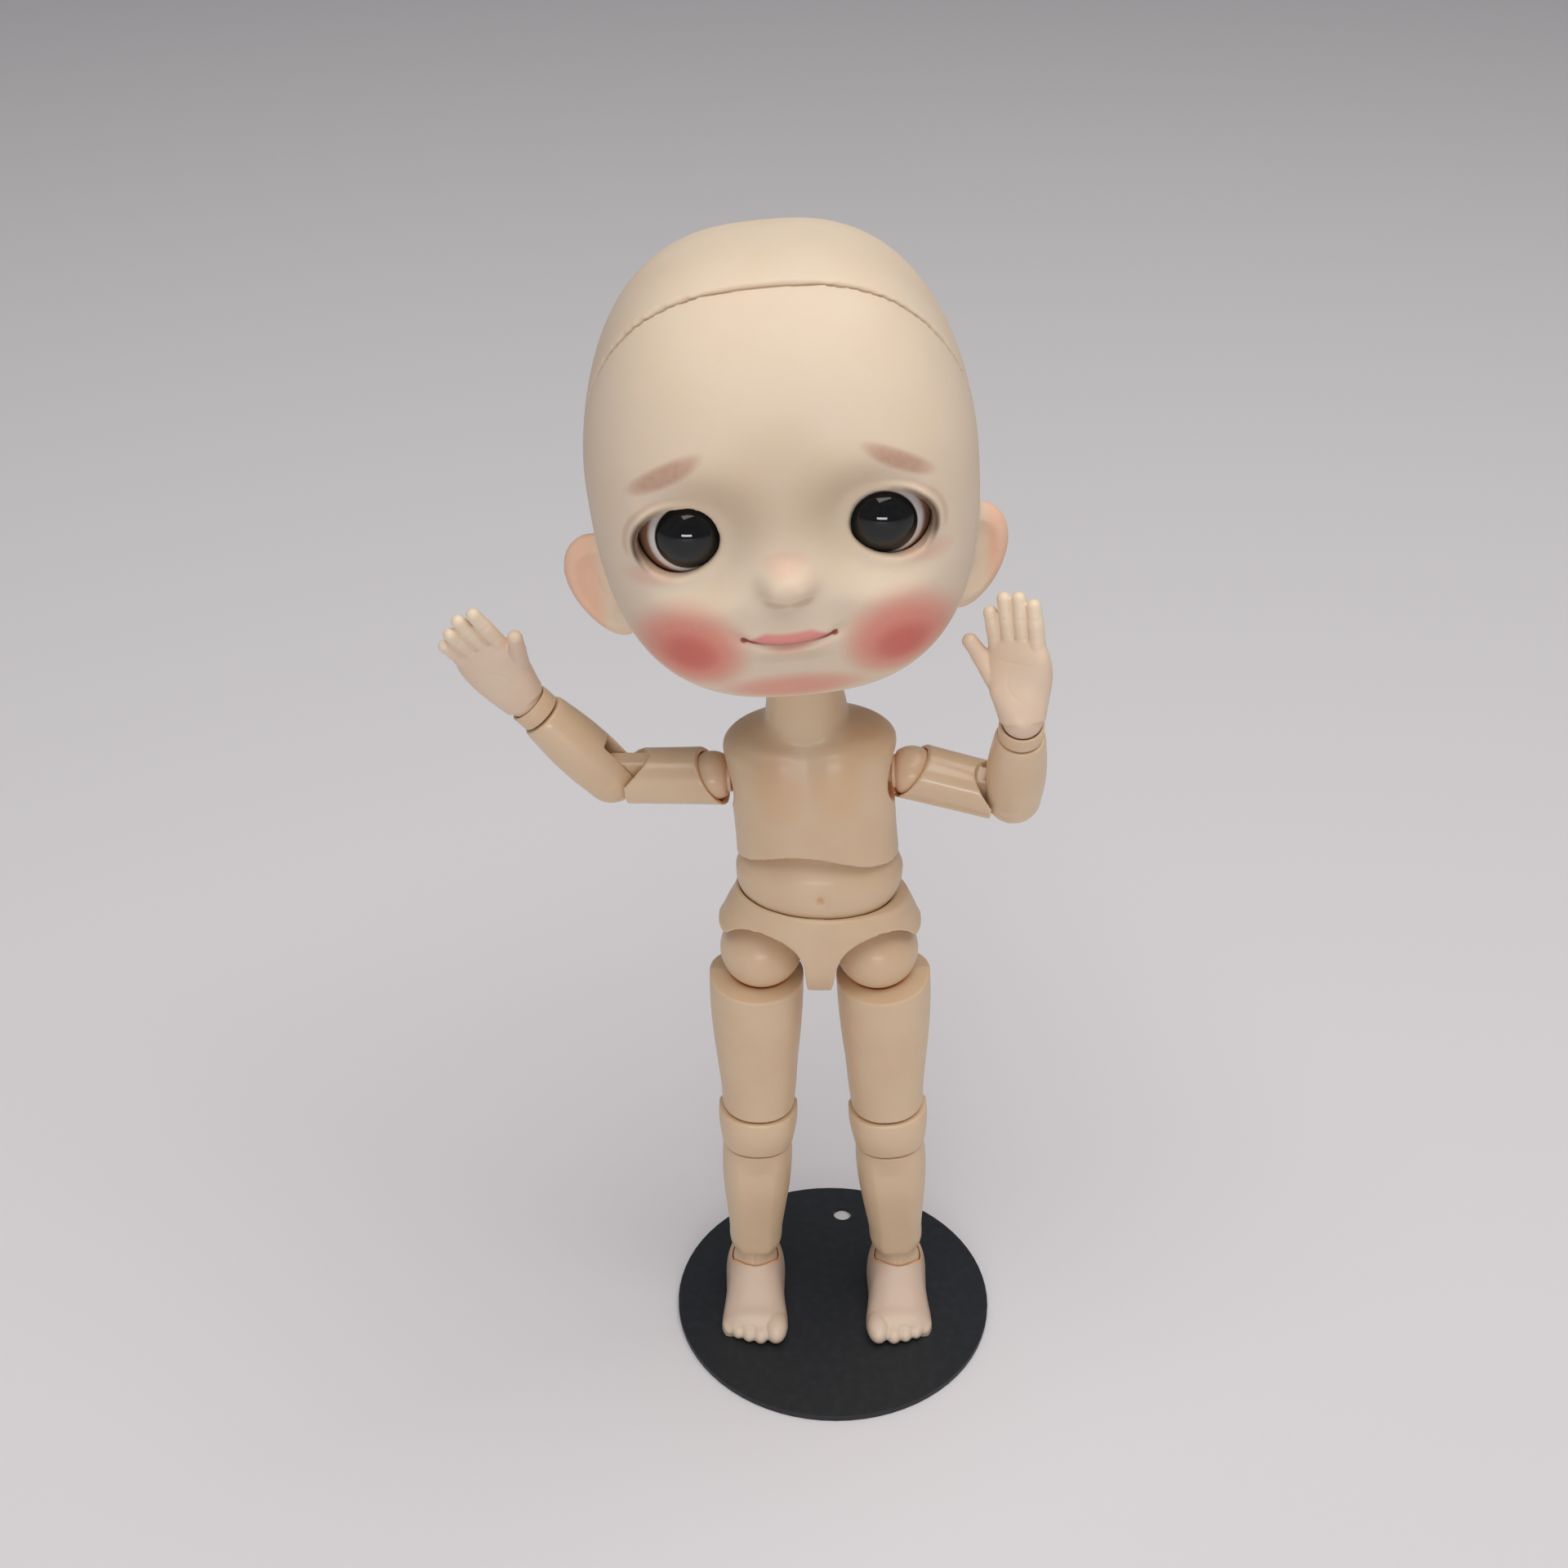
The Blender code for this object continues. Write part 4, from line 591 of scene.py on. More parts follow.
def belly_barrel(grow):
    wide, radius = BELLY_HALF_WIDTH + grow, BELLY_RADIUS + grow
    return ball("barrel", radius, scale=(wide / radius, 1, 1))


def belly_top(grow, power):
    wide, radius, top = BELLY_HALF_WIDTH + grow, BELLY_RADIUS + grow, BELLY_RISE + grow
    return limb("top", 0, top, wide, radius, BELLY_SHARES, power)


pelvis = limb(
    "pelvis_shell", -PELVIS_DROP, PELVIS_RISE, PELVIS_HALF_WIDTH, PELVIS_HALF_DEPTH, PELVIS_SHARES, 2.35
)
to_belly = pelvis_axes.inverted() @ belly_axes
carve(pelvis, transformed(belly_barrel(SEAT_GAP), to_belly))
hip_span = (place_of("left_hip_swing") - place_of("right_hip_swing")).length
past_pelvis = PELVIS_HALF_DEPTH + OVERRUN
for side, name in SIDES:
    hip = side * hip_span / 2
    middle = hip + side * LEG_ARCH_OUTWARD
    crown = arc(LEG_ARCH_RADIUS, LEG_ARCH_TOP - LEG_ARCH_RADIUS, math.pi, math.pi / 5, 24)
    crown = [(middle + side * across, height) for across, height in crown]
    outer = side * (PELVIS_HALF_WIDTH + OVERRUN)
    low = -PELVIS_DROP - OVERRUN
    inner = side * CROTCH_HALF_WIDTH
    outline = [(inner, low), (inner, -PELVIS_DROP)] + crown + [(outer, crown[-1][1]), (outer, low)]
    carve(pelvis, prism("arch", outline, -past_pelvis, past_pelvis, along_y=True))
    carve(pelvis, ball("seat", HIP_BALL_RADIUS + SEAT_GAP, (hip, 0, 0)))
top = PELVIS_RISE + OVERRUN
beyond = PELVIS_HALF_WIDTH * 2
brim = [(beyond, PELVIS_TRIM[-1][1]), (beyond, top), (-beyond, top), (-beyond, PELVIS_TRIM[0][1])]
brim += PELVIS_TRIM
flare = limb(
    "flare", PELVIS_RISE + 1, -PELVIS_DROP - 1, PELVIS_HALF_WIDTH, PELVIS_HALF_DEPTH, PELVIS_FLARE_SHARES, 2
)
carve(pelvis, flare, "INTERSECT")
carve(pelvis, prism("brim", brim, -past_pelvis, past_pelvis, along_y=True))
melt(pelvis, TORSO_GRAIN, 3)
hip_seats = [((side * hip_span / 2, 0, 0), HIP_BALL_RADIUS + SEAT_GAP) for side in (RIGHT, LEFT)]
pelvis_look = resin("pelvis_resin", pelvis_axes, BODY, BODY_DEEP, 0.42, 0.10, seats=hip_seats)
settle(pelvis, pelvis_axes, "pelvis", "body_skin", pelvis_look, "pelvis")

belly = melt(join(belly_barrel(0), belly_top(0, 2)), TORSO_GRAIN)
belly.name = "belly_barrel"


def navel_pressed(places):
    across = bump(places[:, 0], NAVEL_HALF_WIDTH)
    up = bump(places[:, 2], NAVEL_HALF_HEIGHT)
    places[:, 1] += NAVEL_DEPTH * across * up * (places[:, 1] < 0)
    return places


moved(belly, navel_pressed)


def belly_tone(look, base):
    """A little shade gathers in the navel."""
    navel = spot(look, 0, 0, 0.42, 0.55, 0, 0.7) * look.y.ramp(0.0, -3.0)
    return (navel * 0.6).blend(base, WARM_TINT_AND_SHADE)


belly_look = resin("belly_resin", belly_axes, BODY, BODY_DEEP, 0.42, 0.10, belly_tone)
settle(belly, belly_axes, "belly", "body_skin", belly_look, "belly")

# %% [markdown]
# ## Chest, neck and shoulders
#
# The chest is one casting with the neck on it. Its lower edge runs in a slow wave over the belly. A
# faint valley runs down the breastbone, and two low ridges mark the collarbones. Round sockets at
# its sides let the arms swing, and the shoulder pieces are turned: a stem, a thin disc and a ball.

# %% Chest with its neck
CHEST_HALF_WIDTH = 9.4
CHEST_HALF_DEPTH = 7.0
CHEST_DROP = 1.2
CHEST_TOP = 25.3
CHEST_HEM = (
    (-9.6, -0.4), (-8.4, 0.35), (-6.4, 1.3), (-3.0, 2.5), (0.0, 2.5),
    (3.0, 1.5), (6.0, 0.15), (8.0, -0.6), (9.6, -1.2),
)
CHEST_ROOM_POWER = 2.4
CHEST_SHARES = (
    (0.000, 0.985, 0.95), (0.120, 0.975, 1.00), (0.260, 0.975, 1.02, 0.0, -0.01), (0.400, 1.00, 1.00),
    (0.520, 1.02, 0.95, 0.0, 0.02), (0.590, 1.00, 0.87, 0.0, 0.02), (0.630, 0.87, 0.79, 0.0, 0.01),
    (0.658, 0.68, 0.71, 0.0, -0.02), (0.695, 0.52, 0.66, 0.0, -0.05), (0.760, 0.470, 0.630, 0.0, -0.07),
    (0.880, 0.440, 0.590, 0.0, -0.085), (1.000, 0.410, 0.550, 0.0, -0.085),
)
SHOULDER_HALF_SPAN = 11.2
SHOULDER_RISE = 9.5
SHOULDER_BALL_RADIUS = 2.8
SHOULDER_DISC_RADIUS = 2.9
SHOULDER_DISC_OUT = 1.8
SHOULDER_DISC_THICKNESS = 0.4
SHOULDER_STEM_RADIUS = 1.2
SHOULDER_STEM_LENGTH = 6.2
SHOULDER_CONE_END = math.radians(35)
ARM_HALF_WIDTH = 3.25
ARM_END_BACK = 1.6
NECK_BALL_RADIUS = 3.2
NECK_STEM_RADIUS = 1.5
NECK_STEM_DEPTH = 4.0
NECK_TOP_DROP = 2.8
NECK_CUP_WALL = 1.45
NECK_CUP_SKIRT = 1.6
NECK_FORWARD = 0.6

chest = limb(
    "chest_shell", -CHEST_DROP, CHEST_TOP, CHEST_HALF_WIDTH, CHEST_HALF_DEPTH, CHEST_SHARES, 2.2, rings=96
)
past_chest = CHEST_HALF_WIDTH + OVERRUN
low = -CHEST_DROP - OVERRUN
hem_places = np.linspace(CHEST_HEM[0][0], CHEST_HEM[-1][0], 41)
hem = [(x, float(z)) for x, z in zip(hem_places, smooth_rows(CHEST_HEM, hem_places, 2)[:, 0])]
hem += [(CHEST_HEM[-1][0], low), (CHEST_HEM[0][0], low)]
carve(chest, prism("hem", hem, -past_chest, -SEAM_GAP, along_y=True))
to_chest = chest_axes.inverted() @ belly_axes
carve(chest, transformed(belly_top(SEAM_GAP, CHEST_ROOM_POWER), to_chest))
# The barrel and the belly's top swing past the room's corners when the chest turns
cleared(chest, chest_axes, "chest_turn", belly_axes, lambda: belly_barrel(SEAT_GAP))
cleared(chest, chest_axes, "chest_turn", belly_axes, lambda: belly_top(BALL_GAP, 2))
socket = math.hypot(ARM_HALF_WIDTH, ARM_END_BACK) + SEAM_GAP
for side, name in SIDES:
    middle = (side * SHOULDER_HALF_SPAN, 0, SHOULDER_RISE)
    carve(chest, ball("socket", socket, middle))
    inner = side * (SHOULDER_HALF_SPAN - SHOULDER_STEM_LENGTH - SEAM_GAP)
    carve(chest, rod("bore", SHOULDER_STEM_RADIUS + PIN_GAP, (inner, 0, SHOULDER_RISE), middle))
bore_low = CHEST_TOP - NECK_STEM_DEPTH - SEAM_GAP
bore_high = CHEST_TOP + OVERRUN
bore = NECK_STEM_RADIUS + PIN_GAP
carve(chest, rod("bore", bore, (0, -NECK_FORWARD, bore_low), (0, -NECK_FORWARD, bore_high)))
melt(chest, TORSO_GRAIN, 4)

BREASTBONE_DEPTH = 0.42
COLLARBONE_HEIGHT = 0.34
COLLARBONE_RISE = 15.2
BREASTBONE_RISE = 13.6
BREAST_RISE = 11.6
BREAST_HEIGHT = 0.22


def chest_sculpted(places):
    """A valley down the middle and two ridges from the neck to the shoulders, on the front only."""
    x, y, z = places.T
    front = np.clip(-y / 3.0, 0, 1)
    valley = bump(x, 1.5) * bump(z - BREASTBONE_RISE, 2.6)
    ridge = bump(z - COLLARBONE_RISE - 0.10 * np.abs(x), 0.62) * bump(np.abs(x) - 4.2, 1.9)
    breast = bump(np.abs(x) - 4.4, 2.6) * bump(z - BREAST_RISE, 2.8)
    places[:, 1] += front * (BREASTBONE_DEPTH * valley - COLLARBONE_HEIGHT * ridge - BREAST_HEIGHT * breast)
    return places


moved(chest, chest_sculpted)


def chest_tone(look, base):
    """Warmer and darker towards the top of one shoulder, and two painted shadows of the head on the upper
    chest.
    """
    front = look.y.ramp(0.0, -3.0)
    warm = look.z.ramp(12.0, 16.0) * look.x.ramp(2.0, 6.0)
    base = (warm * 0.45).blend(base, WARM_TINT_AND_SHADE)
    # Two painted shadows cast by the head, on the upper chest
    for across, up, wide, tall in ((-3.2, 11.6, 2.6, 4.4), (3.4, 11.2, 2.6, 3.4)):
        base = (spot(look, across, up, wide, tall, 0, 0.95) * front * 0.42).blend(base, WARM_TINT_AND_SHADE)
    return base


arm_seats = [((side * SHOULDER_HALF_SPAN, 0, SHOULDER_RISE), socket) for side in (RIGHT, LEFT)]
chest_look = resin("chest_resin", chest_axes, BODY, BODY_DEEP, 0.42, 0.10, chest_tone, seats=arm_seats)
settle(chest, chest_axes, "chest", "body_skin", chest_look, "chest")

# %% Neck ball and cup, and the shoulder pieces
join_angle = -math.acos(NECK_STEM_RADIUS / NECK_BALL_RADIUS)
stem_low = -NECK_TOP_DROP - NECK_STEM_DEPTH
profile = [(0, stem_low), (NECK_STEM_RADIUS, stem_low)] + arc(NECK_BALL_RADIUS, 0, join_angle, math.pi / 2)
neck_look = resin("neck_resin", neck_axes, JOINT, JOINT_DEEP, 0.45)
neck_ball = turned("neck_ball_turned", profile)
settle(neck_ball, neck_axes, "neck_ball", "joint_skin", neck_look, "neck_ball")

inner = NECK_BALL_RADIUS + BALL_GAP
outer = inner + NECK_CUP_WALL
profile = arc(outer, 0, math.pi / 2, -math.asin(NECK_CUP_SKIRT / outer))
profile += arc(inner, 0, -math.asin(NECK_CUP_SKIRT / inner), math.pi / 2)
neck_cup = turned("neck_cup_turned", profile)
settle(neck_cup, neck_axes, "neck_cup", "joint_skin", neck_look, "neck_cup")

for side, name in SIDES:
    face = -SHOULDER_DISC_OUT - SHOULDER_DISC_THICKNESS
    disc = math.sqrt(SHOULDER_DISC_RADIUS ** 2 - face ** 2)
    profile = [(0, -SHOULDER_STEM_LENGTH), (SHOULDER_STEM_RADIUS, -SHOULDER_STEM_LENGTH)]
    profile += [(SHOULDER_STEM_RADIUS, face), (disc, face), (disc, -SHOULDER_DISC_OUT)]
    profile += arc(SHOULDER_BALL_RADIUS, 0, -SHOULDER_CONE_END, math.pi / 2)
    obj = turned(name + "_shoulder_turned", profile)
    softened(obj, 0.09)
    transformed(obj, Matrix.Rotation(side * math.pi / 2, 4, "Y"))
    place = side_axes[side]["shoulder"]
    look = resin(name + "_shoulder_resin", place, JOINT, JOINT_DEEP, 0.36, 0.2)
    settle(obj, place, name + "_shoulder_ball", "joint_skin", look, name + "_shoulder_ball")

# %% [markdown]
# ## Head
#
# The head is a hollow egg on a broad jaw, cut by a slanting plane: the back comes off as a cap, so
# that the eyes can be set from inside. The face is pressed out of the same form as small soft
# hills: button nose, lips, cheeks and the puffed lids round two almond openings.

# %% The head's form
HEAD_HALF_WIDTH = 20.0
HEAD_HALF_DEPTH = 20.3
HEAD_CROWN_HEIGHT = 22.2
HEAD_JAW_HEIGHT = 25.0
HEAD_CENTRE = 22.6
HEAD_ROUND_POWER = 2.66
HEAD_CROWN_POWER = 1.87
HEAD_JAW_POWER = 2.62
HEAD_WALL = 2.8
HEAD_FLOOR = 4.5
HEAD_GRAIN = 0.30
CAP_GRAIN = 0.38
CAP_SEAM_SET = 10.8
CAP_SEAM_DROP = 1.9
EYE_RADIUS = 5.2
EYE_SPREAD = 9.5
EYE_HEIGHT = 21.1
EYE_SET = 7.9
EYE_OPEN_OUT = 0.75
EYE_OPEN_UP = 0.22
EYE_OPEN_HALF_WIDTH = 4.0
EYE_OPEN_HALF_HEIGHT = 3.35
EYE_OPEN_TILT = math.radians(18)
LID_THICKNESS = 0.35
LID_ROUNDNESS = 14.0
LID_SPREAD = 0.5


def head_reach(ways, grow, floor):
    """How far the head's surface is from its centre, along many directions at once."""
    jaw = min(HEAD_JAW_HEIGHT + grow, HEAD_CENTRE - floor)
    up = ways[:, 2] > 0
    tall = np.where(up, HEAD_CROWN_HEIGHT + grow, jaw)
    power = np.where(up, HEAD_CROWN_POWER, HEAD_JAW_POWER)
    low = np.zeros(len(ways))
    high = np.full(len(ways), HEAD_HALF_WIDTH + HEAD_JAW_HEIGHT)
    for _ in range(30):
        middle = (low + high) / 2
        spot = np.abs(ways) * middle[:, None]
        size = (spot[:, 0] / (HEAD_HALF_WIDTH + grow)) ** HEAD_ROUND_POWER
        size += (spot[:, 1] / (HEAD_HALF_DEPTH + grow)) ** HEAD_ROUND_POWER
        size += (spot[:, 2] / tall) ** power
        low, high = np.where(size < 1, middle, low), np.where(size < 1, high, middle)
    return low


def head_form(name, grow=0.0, floor=-OVERRUN):
    obj = ball(name, 1.0)
    with_modifier(obj, "SUBSURF", levels=2, render_levels=2)

    def swollen(places):
        ways = places / np.linalg.norm(places, axis=1)[:, None]
        return ways * head_reach(ways, grow, floor)[:, None] + np.array((0, 0, HEAD_CENTRE))

    return moved(obj, swollen)


def cap_side(gap, way):
    """A large box on one side of the cap's seam."""
    reach = HEAD_HALF_WIDTH * 4
    top = HEAD_CENTRE + HEAD_CROWN_HEIGHT
    normal = Vector((0, math.sin(CAP_SLOPE), math.cos(CAP_SLOPE)))
    point = Vector((0, CAP_SEAM_SET - HEAD_HALF_DEPTH, top - CAP_SEAM_DROP)) + normal * way * gap / 2
    obj = block("side", (-reach, -reach, 0), (reach, reach, reach))
    return transformed(obj, Matrix.Translation(point) @ normal.to_track_quat("Z", "X").to_matrix().to_4x4())


print("head", 2 * HEAD_HALF_WIDTH, "mm wide,", HEAD_CROWN_HEIGHT + HEAD_JAW_HEIGHT, "mm tall")

# %% [markdown]
# The face is moved out of the plain form in one pass, after the eyes are cut, so the lids stay
# crisp. Each hill has a place, a width and a height that were read off the real face.

# %% The face's relief
NOSE_AT = (-0.2, 17.2)
NOSE_HALF_WIDTH = 2.35
NOSE_HALF_HEIGHT = 1.85
NOSE_OUT = 2.2
MOUTH_AT = (-0.55, 10.35)
MOUTH_HALF_WIDTH = 4.35
SMILE_LIFT = 0.85
FACE_HILLS = (
    # across, up, half-width, half-height, out; across is mirrored where it isn't near the middle
    (0.0, 22.6, 2.9, 3.6, -0.75),
    (MOUTH_AT[0], MOUTH_AT[1], 4.0, 2.4, 0.75),
    (MOUTH_AT[0], MOUTH_AT[1] - 3.2, 3.4, 0.9, -0.30),
    (-0.6, 4.6, 3.6, 2.0, 0.45),
)
PAIRED_HILLS = (
    (1.9, NOSE_AT[1] - 0.5, 0.7, 0.8, 0.25),
    (10.3, 9.2, 4.4, 3.9, 1.15),
    (14.2, 12.0, 3.4, 4.0, 0.35),
    (5.0, 12.4, 1.1, 2.6, -0.22),
    (9.6, 14.9, 4.4, 1.3, 0.45),
    (11.0, 27.6, 4.0, 1.7, 0.25),
)
LID_PUFF = 0.30
LID_PUFF_WIDTH = 0.14


def eye_offset(x, z):
    """Where a place is within the nearer eye's opening: 1 on its rim."""
    across = np.abs(x) - EYE_SPREAD - EYE_OPEN_OUT
    up = z - EYE_HEIGHT - EYE_OPEN_UP
    c, s = math.cos(EYE_OPEN_TILT), math.sin(EYE_OPEN_TILT)
    along = across * c - up * s
    over = across * s + up * c
    return np.hypot(along / EYE_OPEN_HALF_WIDTH, over / EYE_OPEN_HALF_HEIGHT), along, over


def face_out(places):
    """How far the face stands out at each place on the front."""
    x, y, z = places.T
    button = ((x - NOSE_AT[0]) / NOSE_HALF_WIDTH) ** 2 + ((z - NOSE_AT[1]) / NOSE_HALF_HEIGHT) ** 2
    out = NOSE_OUT * np.exp(-(button ** 1.6))
    for across, up, wide, tall, height in FACE_HILLS:
        out += height * bump(x - across, wide) * bump(z - up, tall)
    for across, up, wide, tall, height in PAIRED_HILLS:
        out += height * bump(np.abs(x) - across, wide) * bump(z - up, tall)
    lip = (x - MOUTH_AT[0]) / MOUTH_HALF_WIDTH
    smile = MOUTH_AT[1] + SMILE_LIFT * lip ** 2
    inside = np.clip(1.15 - np.abs(lip), 0, 1) ** 0.5
    out -= 0.62 * bump(z - smile, 0.30) * inside
    out += 0.34 * bump(z - smile - 0.75, 0.42) * bump(lip, 0.5)
    out += 0.38 * bump(z - smile + 0.80, 0.50) * bump(lip, 0.42)
    out -= 0.35 * bump(np.abs(lip) - 1.12, 0.12) * bump(z - smile - 0.15, 0.5)
    rim, _, over = eye_offset(x, z)
    out += LID_PUFF * bump(rim - 1.12, LID_PUFF_WIDTH) * np.where(over > 0, 1.0, 0.75)
    out -= 0.18 * bump(rim - 1.38, 0.08) * np.clip(over / EYE_OPEN_HALF_HEIGHT, 0, 1)
    return out


def face_pressed(places):
    """Moves the face outwards where the surface is the head's front and not its inside."""
    centred = places - np.array((0, 0, HEAD_CENTRE))
    length = np.linalg.norm(centred, axis=1)
    reach = head_reach(centred / length[:, None], 0.0, -OVERRUN)
    depth = np.clip(1.6 - 1.6 * (reach - length) / HEAD_WALL, 0, 1)
    front = np.clip(-places[:, 1] / HEAD_HALF_DEPTH * 2.2 - 0.5, 0, 1)
    places[:, 1] -= face_out(places) * front * depth ** 0.5
    return places


def sockets_sunk(places, wall=0.0):
    """Sinks the skin round each eye onto the ball, so that the lids lie close to the glass."""
    x, y, z = places.T
    rim = eye_offset(x, z)[0]
    off = np.clip(np.hypot(np.abs(x) - EYE_SPREAD, z - EYE_HEIGHT), 0, LID_ROUNDNESS)
    skin = EYE_SET - HEAD_HALF_DEPTH - EYE_RADIUS - LID_THICKNESS + wall
    skin = skin + LID_ROUNDNESS - np.sqrt(LID_ROUNDNESS ** 2 - off ** 2)
    share = bump(np.clip(rim - 1, 0, None), LID_SPREAD) * (y < 0)
    places[:, 1] += share * np.clip(skin - y, 0, None)
    return places


print(len(FACE_HILLS) + 2 * len(PAIRED_HILLS), "hills on the face")

# %% [markdown]
# The ears stand out low on the head. Each is a flattened shell with a rolled rim, a hollow bowl and
# a small ridge inside it.

# %% Ears, shell and cap
EAR_SET = 1.2
EAR_HEIGHT = 9.3
EAR_FORWARD = 1.2
EAR_HALF_WIDTH = 3.7
EAR_HALF_DEPTH = 1.9
EAR_HALF_HEIGHT = 6.3
EAR_TILT = math.radians(16)
EAR_WIDENING = 0.03
EAR_SHIFT = {RIGHT: (1.0, 0.1), LEFT: (-0.3, -0.3)}


def make_ear(side):
    shape = (EAR_HALF_WIDTH / EAR_HALF_HEIGHT, EAR_HALF_DEPTH / EAR_HALF_HEIGHT, 1)
    ear = ball("ear", EAR_HALF_HEIGHT, scale=shape)
    bowl = ball(
        "bowl", EAR_HALF_HEIGHT * 0.78, (side * EAR_HALF_WIDTH * 0.06, -EAR_HALF_DEPTH * 1.02, 0.25), shape
    )
    carve(ear, bowl)
    ridge = ball("ridge", 1.0, (side * 0.75, -0.15, 1.0), (0.55, 0.75, 2.7))
    lobe = ball("lobe", 1.5, (-side * 0.6, -0.35, -3.9), (1.0, 0.72, 1.15))
    join(ear, ridge, lobe)

    def widened(places):
        """The ear is broader towards its top."""
        places[:, 0] *= 1 + places[:, 2] * EAR_WIDENING
        return places

    moved(ear, widened)
    turn = Matrix.Rotation(side * EAR_TILT, 4, "Y")
    across, height = EAR_SHIFT[side]
    out = side * (HEAD_HALF_WIDTH - EAR_SET + across)
    return transformed(ear, turn, Matrix.Translation((out, -EAR_FORWARD, EAR_HEIGHT + height)))


shell = moved(head_form("head_shell_cast"), sockets_sunk)
carve(shell, cap_side(SEAM_GAP, -1))
SOCKET_WALL = 2.3
room = moved(head_form("room", -HEAD_WALL, HEAD_FLOOR), lambda places: sockets_sunk(places, SOCKET_WALL))
carve(shell, room)
for side, name in SIDES:
    ear = melt(make_ear(side), 0.2, 2)
    carve(shell, ear, "UNION")
seat = NECK_BALL_RADIUS + BALL_GAP + NECK_CUP_WALL + BALL_GAP
carve(shell, ball("seat", seat, NECK_SEAT))
NECK_FLARE = math.radians(64)
flare_depth = NECK_SEAT.z + HEAD_JAW_HEIGHT - HEAD_CENTRE + OVERRUN
flare = turned("flare", [(0, 0), (flare_depth * math.tan(NECK_FLARE), -flare_depth), (0, -flare_depth)])
carve(shell, transformed(flare, Matrix.Translation(NECK_SEAT)))
eye_places = {side: Vector((side * EYE_SPREAD, EYE_SET - HEAD_HALF_DEPTH, EYE_HEIGHT)) for side, _ in SIDES}
PUTTY_RADIUS = 6.2
PUTTY_FRONT = 1.2
PUTTY_LENGTH = 2.8
LID_ROUND = 2.25
for side, name in SIDES:
    carve(shell, ball("room", EYE_RADIUS + 0.06, eye_places[side]))
    lids = limb("lids", 0, HEAD_HALF_DEPTH, EYE_OPEN_HALF_WIDTH, EYE_OPEN_HALF_HEIGHT,
                ((0, 1, 1), (1, 1, 1)), LID_ROUND, rings=2)
    transformed(lids, Matrix.Rotation(math.pi / 2, 4, "X"), Matrix.Rotation(side * EYE_OPEN_TILT, 4, "Y"))
    middle = eye_places[side] + Vector((side * EYE_OPEN_OUT, 0, EYE_OPEN_UP))
    carve(shell, transformed(lids, Matrix.Translation(middle)))
    front = eye_places[side] + Vector((0, PUTTY_FRONT - SEAM_GAP, 0))
    back = front + Vector((0, PUTTY_LENGTH + 3 * SEAM_GAP, 0))
    carve(shell, rod("putty_room", PUTTY_RADIUS + SEAM_GAP, front, back))
melt(shell, HEAD_GRAIN, 4)
moved(shell, face_pressed)

cap = head_form("head_cap_cast")
carve(cap, cap_side(SEAM_GAP, 1), "INTERSECT")
carve(cap, head_form("room", -HEAD_WALL, HEAD_FLOOR))
melt(cap, CAP_GRAIN, 4)

# %% [markdown]
# The make-up is soft pastel on matte resin: feathered brows, round red blush with a darker middle, a pink
# mouth with dark corners, a brown lash line and lid crease, and warm ears. With it goes painted shade beside
# the nose, between the brows, under the mouth, in the nostrils and just inside the eye openings. Each mark is
# a soft ellipse in the head's own millimetres, so it stays on the face in every view.

# %% Make-up and head resin
FACE = colour(0.80, 0.65, 0.50)
FACE_DEEP = colour(0.785, 0.625, 0.465)
BLUSH = colour(0.74, 0.165, 0.12)
BLUSH_CORE = colour(0.60, 0.085, 0.065)
LIP = colour(0.77, 0.235, 0.215)
LIP_LINE = colour(0.30, 0.045, 0.03)
BROW = colour(0.50, 0.245, 0.165)
LASH = colour(0.105, 0.05, 0.028)
EAR_WARM = colour(0.86, 0.50, 0.34)
SHADE = colour(0.60, 0.44, 0.28)
BROWS = ((-10.8, 28.5, 27.0, 3.7, 0.95), (11.4, 27.9, -33.0, 3.5, 0.85))
BLUSHES = ((-10.5, 9.8), (10.4, 9.2))
BLUSH_CORES = ((-10.5, 9.7), (10.5, 8.7))


